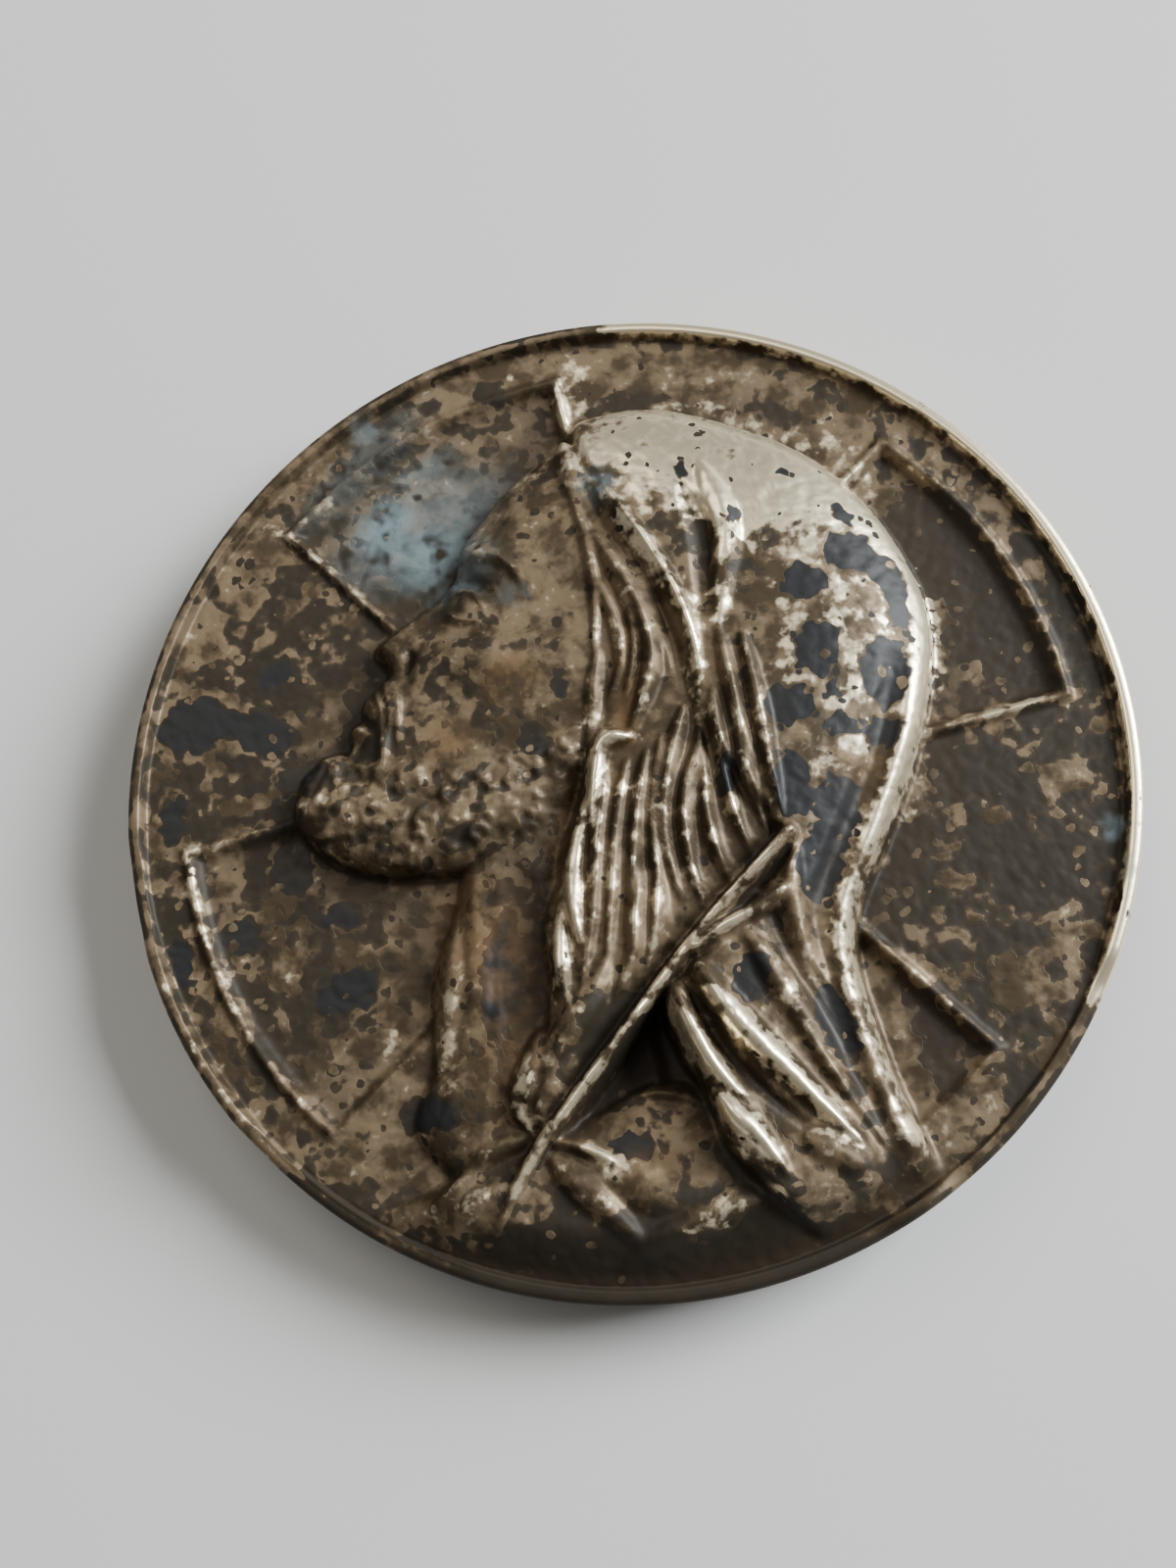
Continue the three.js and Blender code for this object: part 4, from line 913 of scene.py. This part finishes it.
def close_tree(tree, geometry, material):
    """Ends a tree with real geometry in one material."""
    real = add_node(tree, "GeometryNodeRealizeInstances", {"Geometry": geometry}).outputs[0]
    painted = add_node(tree, "GeometryNodeSetMaterial", {"Geometry": real, "Material": material})
    tree.links.new(painted.outputs[0], tree.nodes.new("NodeGroupOutput").inputs[0])
    return tree


def struck_surface_tree(material):
    """Lifts the blank's face by its stored relief, then pits the metal along its normals."""
    tree, into = new_tree("struck_surface", (
        ("Relief Share", "Float", 1.0),
        ("Pit Depth", "Float", 0.012 * MM),
        ("Pit Spacing", "Float", 0.35 * MM),
        ("Ripple Depth", "Float", 0.015 * MM),
        ("Ripple Spacing", "Float", 1.6 * MM),
        ("Pit Edge", "Float", 0.42),
        ("Pit Steepness", "Float", 8.0),
        ("Seed", "Float", 7.0),
    ))

    def maths(operation, *values):
        return add_node(tree, "ShaderNodeMath", dict(enumerate(values)),
                        operation=operation).outputs[0]

    def stored(name):
        return add_node(tree, "GeometryNodeInputNamedAttribute", {"Name": name},
                        data_type="FLOAT").outputs["Attribute"]

    def noise(spacing, detail, seed_step):
        scale = maths("DIVIDE", 1.0, into[spacing])
        seed = maths("ADD", into["Seed"], seed_step)
        place = add_node(tree, "GeometryNodeInputPosition").outputs[0]
        return add_node(tree, "ShaderNodeTexNoise", {
            "Vector": place, "W": seed, "Scale": scale, "Detail": detail, "Roughness": 0.55,
        }, noise_dimensions="4D").outputs[0]

    lift = maths("MULTIPLY", stored("relief"), into["Relief Share"])
    up = add_node(tree, "ShaderNodeCombineXYZ", {"Z": lift}).outputs[0]
    lifted = add_node(tree, "GeometryNodeSetPosition",
                      {"Geometry": into["Geometry"], "Offset": up}).outputs[0]
    below_edge = maths("SUBTRACT", into["Pit Edge"], noise("Pit Spacing", 3.0, 0.0))
    pits = maths("SMOOTH_MIN", below_edge, 0.0, 0.03)
    ripple = maths("SUBTRACT", noise("Ripple Spacing", 2.0, 11.0), 0.5)
    push = maths("ADD",
                 maths("MULTIPLY", maths("MULTIPLY", pits, into["Pit Steepness"]),
                       into["Pit Depth"]),
                 maths("MULTIPLY", ripple, into["Ripple Depth"]))
    normal = add_node(tree, "GeometryNodeInputNormal").outputs[0]
    offset = add_node(tree, "ShaderNodeVectorMath", {0: normal, "Scale": push}, operation="SCALE")
    on_face = add_node(tree, "FunctionNodeCompare", {0: stored("face"), 1: 0.5},
                       data_type="FLOAT", operation="GREATER_THAN").outputs[0]
    pitted = add_node(tree, "GeometryNodeSetPosition", {
        "Geometry": lifted, "Selection": on_face, "Offset": offset.outputs["Vector"],
    }).outputs[0]
    smooth_faces = add_node(tree, "GeometryNodeSetShadeSmooth", {"Geometry": pitted}).outputs[0]
    return close_tree(tree, smooth_faces, material)


def linked_object(name, data):
    holder = bpy.data.objects.new(name, data)
    bpy.context.scene.collection.objects.link(holder)
    return holder


def made_plain(source, tree, name):
    """Runs a tree on an object and keeps the result as a plain mesh object."""
    modifier = source.modifiers.new(tree.name, "NODES")
    modifier.node_group = tree
    depsgraph = bpy.context.evaluated_depsgraph_get()
    depsgraph.update()
    mesh = bpy.data.meshes.new_from_object(
        source.evaluated_get(depsgraph), preserve_all_data_layers=True, depsgraph=depsgraph)
    source.modifiers.remove(modifier)
    mesh.name = name
    bpy.data.objects.remove(source)
    return linked_object(name, mesh)


def bail_tree(material):
    """Sweeps a flat bar with rounded edges along the bail's path."""
    tree, into = new_tree("bail_along_path", (
        ("Bar Width", "Float", bail_width * MM),
        ("Bar Thickness", "Float", bail_bar * MM),
        ("Edge Rounding", "Float", bail_edge_rounding * MM),
    ))
    bar = add_node(tree, "GeometryNodeCurvePrimitiveQuadrilateral", {
        "Width": into["Bar Width"], "Height": into["Bar Thickness"],
    }, mode="RECTANGLE").outputs[0]
    rounded = add_node(tree, "GeometryNodeFilletCurve", {
        "Curve": bar, "Count": 4, "Radius": into["Edge Rounding"],
    }, mode="POLY").outputs[0]
    swept = add_node(tree, "GeometryNodeCurveToMesh", {
        "Curve": into["Geometry"], "Profile Curve": rounded, "Fill Caps": True,
    }).outputs[0]
    return close_tree(tree, swept, material)


def bail_path():
    """Up one post, along the bar and down the other, with round corners."""
    reach = bail_eye_length / 2 + bail_post / 2
    low = bail_back_clearance + bail_bar / 2
    foot = hollow_depth + solder_depth
    middle = medal_radius - bail_from_top
    points = [(0, middle - reach, foot)]
    for side in (-1, 1):
        arc = [(0, middle + side * (reach - bail_bend + bail_bend * math.cos(angle)),
                low + bail_bend - bail_bend * math.sin(angle))
               for angle in np.linspace(0, math.pi / 2, 7)]
        points.extend(arc if side < 0 else arc[::-1])
    points.append((0, middle + reach, foot))
    curve = bpy.data.curves.new("bail_path", "CURVE")
    curve.dimensions = "3D"
    spline_data = curve.splines.new("POLY")
    spline_data.points.add(len(points) - 1)
    for point, place in zip(spline_data.points, points):
        point.co = (*(Vector(place) * MM), 1.0)
    return curve


# Colours of the finish, as pairs where the shade of the metal picks between a darker and a lighter
BLACK_FILM = ((0.014, 0.011, 0.007), (0.03, 0.023, 0.015))
SLATE_FILM = (0.01, 0.0104, 0.0112)
BROWN_FILM = ((0.02, 0.015, 0.009), (0.05, 0.036, 0.022))
TAN_METAL = ((0.05, 0.036, 0.021), (0.16, 0.117, 0.072))
CREAM_METAL = (0.92, 0.8, 0.57)
# Colour of the hollows, standing for dirt and for painted shade
HOLLOW_DIRT_AND_SHADE = (0.024, 0.017, 0.01)
WARM_FILM = (0.115, 0.062, 0.024)
GREEN_FILM = ((0.085, 0.115, 0.125), (0.17, 0.23, 0.255))


class Paint:
    """A material's nodes, added one after the other."""

    def __init__(self, name):
        self.material = bpy.data.materials.new(name)
        self.material.use_nodes = True
        self.tree = self.material.node_tree
        self.tree.nodes.clear()
        self.out = self.tree.nodes.new("ShaderNodeOutputMaterial")
        self.shader = self.tree.nodes.new("ShaderNodeBsdfPrincipled")
        self.tree.links.new(self.shader.outputs[0], self.out.inputs[0])
        self.place = add_node(self.tree, "ShaderNodeTexCoord").outputs["Object"]

    def maths(self, operation, *values, clamp=False):
        return add_node(self.tree, "ShaderNodeMath", dict(enumerate(values)),
                        operation=operation, use_clamp=clamp).outputs[0]

    def times(self, first, second, clamp=False):
        return self.maths("MULTIPLY", first, second, clamp=clamp)

    def total(self, first, *others):
        for other in others:
            first = self.maths("ADD", first, other)
        return first

    def over(self, value, factor):
        """How far a value is above a half, times a factor."""
        return self.times(self.maths("SUBTRACT", value, 0.5), factor)

    def attribute(self, name):
        return add_node(self.tree, "ShaderNodeAttribute", attribute_name=name).outputs["Fac"]

    def moved(self, shift, strength, spacing):
        """Object coordinates shifted and stirred, so that patches have wandering edges."""
        stir = add_node(self.tree, "ShaderNodeTexNoise", {
            "Vector": self.place, "Scale": 1 / (spacing * MM), "Detail": 2.0,
        }).outputs["Color"]
        centred = add_node(self.tree, "ShaderNodeVectorMath", {0: stir, 1: (0.5, 0.5, 0.5)},
                           operation="SUBTRACT").outputs[0]
        scaled = add_node(self.tree, "ShaderNodeVectorMath",
                          {0: centred, "Scale": strength * MM}, operation="SCALE").outputs[0]
        added = add_node(self.tree, "ShaderNodeVectorMath", {0: self.place, 1: scaled},
                         operation="ADD").outputs[0]
        return add_node(self.tree, "ShaderNodeVectorMath",
                        {0: added, 1: tuple(value * MM for value in shift)},
                        operation="ADD").outputs[0]

    def noise(self, spacing, detail, roughness, place=None):
        return add_node(self.tree, "ShaderNodeTexNoise", {
            "Vector": place or self.place, "Scale": 1 / (spacing * MM), "Detail": detail,
            "Roughness": roughness,
        }).outputs["Fac"]

    def cells(self, spacing, place):
        return add_node(self.tree, "ShaderNodeTexVoronoi", {
            "Vector": place, "Scale": 1 / (spacing * MM),
        }).outputs["Distance"]

    def between(self, value, low, high):
        """0 below low, 1 above high, smooth in between."""
        return add_node(self.tree, "ShaderNodeMapRange", {
            "Value": value, "From Min": low, "From Max": high,
        }, interpolation_type="SMOOTHSTEP").outputs["Result"]

    def mix(self, factor, first, second):
        node = add_node(self.tree, "ShaderNodeMix", {0: factor}, data_type="RGBA")
        for socket, colour in ((node.inputs[6], first), (node.inputs[7], second)):
            if isinstance(colour, bpy.types.NodeSocket):
                self.tree.links.new(colour, socket)
            else:
                socket.default_value = (*colour, 1.0)
        return node.outputs[2]

    def blend(self, factor, first, second):
        node = add_node(self.tree, "ShaderNodeMix", {0: factor, 2: first, 3: second},
                        data_type="FLOAT")
        return node.outputs[0]

    def set(self, **inputs):
        for name, value in inputs.items():
            socket = self.shader.inputs[name.replace("_", " ")]
            if isinstance(value, bpy.types.NodeSocket):
                self.tree.links.new(value, socket)
            else:
                socket.default_value = value

    def bump(self, height, distance, strength):
        node = add_node(self.tree, "ShaderNodeBump", {
            "Height": height, "Distance": distance * MM, "Strength": strength,
        })
        self.tree.links.new(node.outputs[0], self.shader.inputs["Normal"])


def tarnished_silver():
    """From the lowest level up: black or slate film, thin brown film, then bare metal that goes
    from tan to cream where it is rubbed and where a painted highlight falls. The hollows are
    darkened partly by dirt and partly by painted shade."""
    paint = Paint("tarnished_silver")
    maths, times, total, over, between = (
        paint.maths, paint.times, paint.total, paint.over, paint.between)

    # What the relief and the tables say, and uneven fields from the broadest to the finest
    crest, stand, polish_and_highlight, wear = map(paint.attribute, ("crest", "stand", "polish_and_highlight", "bare"))
    rubbed = total(times(crest, 0.45), times(stand, 0.4))
    tone = paint.noise(2.8, 3.0, 0.5)
    blotch = paint.noise(1.7, 2.0, 0.5, paint.moved((3.0, 5.0, 0.0), 0.5, 1.0))
    shade = paint.noise(0.8, 3.0, 0.55, paint.moved((7.0, 2.0, 0.0), 0.3, 0.6))
    patch = paint.noise(0.5, 1.0, 0.4)
    speck = paint.noise(0.22, 2.0, 0.5)

    # How bare the metal is. Round dots turn film to metal and metal to film, but not on crests, on
    # the lip or on the back
    level = total(0.55, over(blotch, 0.8), over(patch, 1.4), over(speck, 0.35),
                  times(rubbed, 0.3), wear, times(polish_and_highlight, 0.5))
    dot_size = times(paint.noise(0.9, 1.0, 0.5, paint.moved((1.0, 9.0, 0.0), 0.0, 1.0)), 0.55)
    dots = between(paint.cells(0.62, paint.moved((0.0, 0.0, 0.0), 0.3, 0.35)),
                   maths("SUBTRACT", dot_size, 0.06), maths("SUBTRACT", dot_size, 0.14))
    off_face = maths("SUBTRACT", 1.0, paint.attribute("face"))
    dots = times(dots, between(total(crest, off_face), 0.5, 0.1))
    level = total(level, times(dots, over(level, -1.5)))
    softness = times(between(tone, 0.48, 0.6), 0.06)
    bare = between(level, maths("SUBTRACT", 0.48, softness), maths("ADD", 0.52, softness))
    # Cream where the metal is rubbed, and painted highlight where the tables put one
    shine = between(total(times(level, 0.3), times(rubbed, 0.3), polish_and_highlight,
                          over(shade, 1.2), over(patch, 0.5), over(speck, 0.7)), 0.46, 1.0)
    slate = between(total(paint.attribute("slate"), over(shade, 1.2)), 0.35, 0.9)

    # Film and metal, then dirt and painted shade in the hollows,
    # the warm film and the verdigris over them
    film = paint.mix(between(level, 0.3, 0.47),
                     paint.mix(slate, paint.mix(shade, *BLACK_FILM), SLATE_FILM),
                     paint.mix(shade, *BROWN_FILM))
    tan = paint.mix(between(total(over(tone, 0.6), shade), 0.38, 0.62), *TAN_METAL)
    colour = paint.mix(bare, film, paint.mix(shine, tan, CREAM_METAL))
    # Darker in hollows, grooves and at the foot of raised forms: partly dirt, partly painted shade
    dirt_and_shade = maths("MAXIMUM", times(between(stand, 0.05, -0.4), 0.7),
                 times(between(crest, -0.2, -1.0), 0.4))
    dirt_and_shade = times(dirt_and_shade, total(0.3, times(between(total(wear, polish_and_highlight), 0.3, 0.05), 0.7)))
    colour = paint.mix(dirt_and_shade, colour, HOLLOW_DIRT_AND_SHADE)
    warm = times(paint.attribute("warm"), between(shade, 0.3, 0.6), clamp=True)
    warm = times(warm, between(crest, 0.9, 0.1))
    colour = paint.mix(times(warm, 0.75), colour, WARM_FILM)
    green = times(paint.attribute("verdigris"), between(patch, 0.25, 0.5))
    green = times(green, 0.75, clamp=True)
    colour = paint.mix(green, colour, paint.mix(shade, *GREEN_FILM))

    dull = maths("SUBTRACT", 1.0, maths("MAXIMUM", dirt_and_shade, green))
    paint.set(
        Base_Color=colour,
        Metallic=times(paint.blend(bare, 0.1, paint.blend(shine, 0.5, 0.9)), dull),
        Roughness=paint.blend(bare, paint.blend(slate, 0.55, 0.48), paint.blend(shine, 0.48, 0.3)),
        Specular_IOR_Level=paint.blend(slate, 0.2, 0.25),
    )
    paint.bump(total(times(speck, 0.6), times(bare, 0.6)), 0.015, 0.6)
    return paint.material


def plain_floor():
    paint = Paint("pale_floor")
    paint.set(Base_Color=(0.55, 0.55, 0.54, 1.0), Roughness=0.7)
    return paint.material


def make_medal():
    silver = tarnished_silver()
    mesh, spots, worn = blank_mesh()
    store_face(mesh, spots, worn)
    medal = made_plain(linked_object("blank", mesh), struck_surface_tree(silver), "medal")
    bail = made_plain(linked_object("bail_path", bail_path()), bail_tree(silver), "bail")
    for piece in (medal, bail):
        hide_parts("struck_medal")
        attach(piece, "root")


def make_floor():
    half = 0.4
    mesh = bpy.data.meshes.new("floor")
    corners = [(-half, -half, 0), (half, -half, 0), (half, half, 0), (-half, half, 0)]
    mesh.from_pydata(corners, [], [(0, 1, 2, 3)])
    mesh.materials.append(plain_floor())
    linked_object("floor", mesh)


def make_light(name, place, size, power, colour):
    """A rectangular light at a place in metres, turned to the medal."""
    data = bpy.data.lights.new(name, "AREA")
    data.shape = "RECTANGLE"
    data.size, data.size_y = size
    data.energy = power
    data.color = colour
    light = linked_object(name, data)
    light.location = place
    light.rotation_euler = Vector(place).to_track_quat("Z", "Y").to_euler()


def make_lights():
    make_light("window", (0.3, 0.14, 0.2), (0.2, 0.2), 4.6, (0.94, 0.98, 1.0))
    make_light("fill", (-0.12, 0.16, 0.3), (0.25, 0.25), 0.5, (1.0, 0.95, 0.86))
    world = bpy.data.worlds.new("studio")
    world.use_nodes = True
    world.node_tree.nodes["Background"].inputs[0].default_value = (0.8, 0.78, 0.74, 1.0)
    world.node_tree.nodes["Background"].inputs[1].default_value = 0.24
    bpy.context.scene.world = world


def make_camera():
    """The photograph's view: from above the lower edge, a little to the right."""
    data = bpy.data.cameras.new("camera")
    data.lens = 36.55
    data.clip_start = 0.002
    camera = linked_object("camera", data)
    camera.location = Vector((3.5, -12.05, 44.65)) * MM
    camera.rotation_euler = Euler((math.radians(15.54), math.radians(5.94), 0.0))
    bpy.context.scene.camera = camera


make_camera()
make_medal()
make_floor()
make_lights()
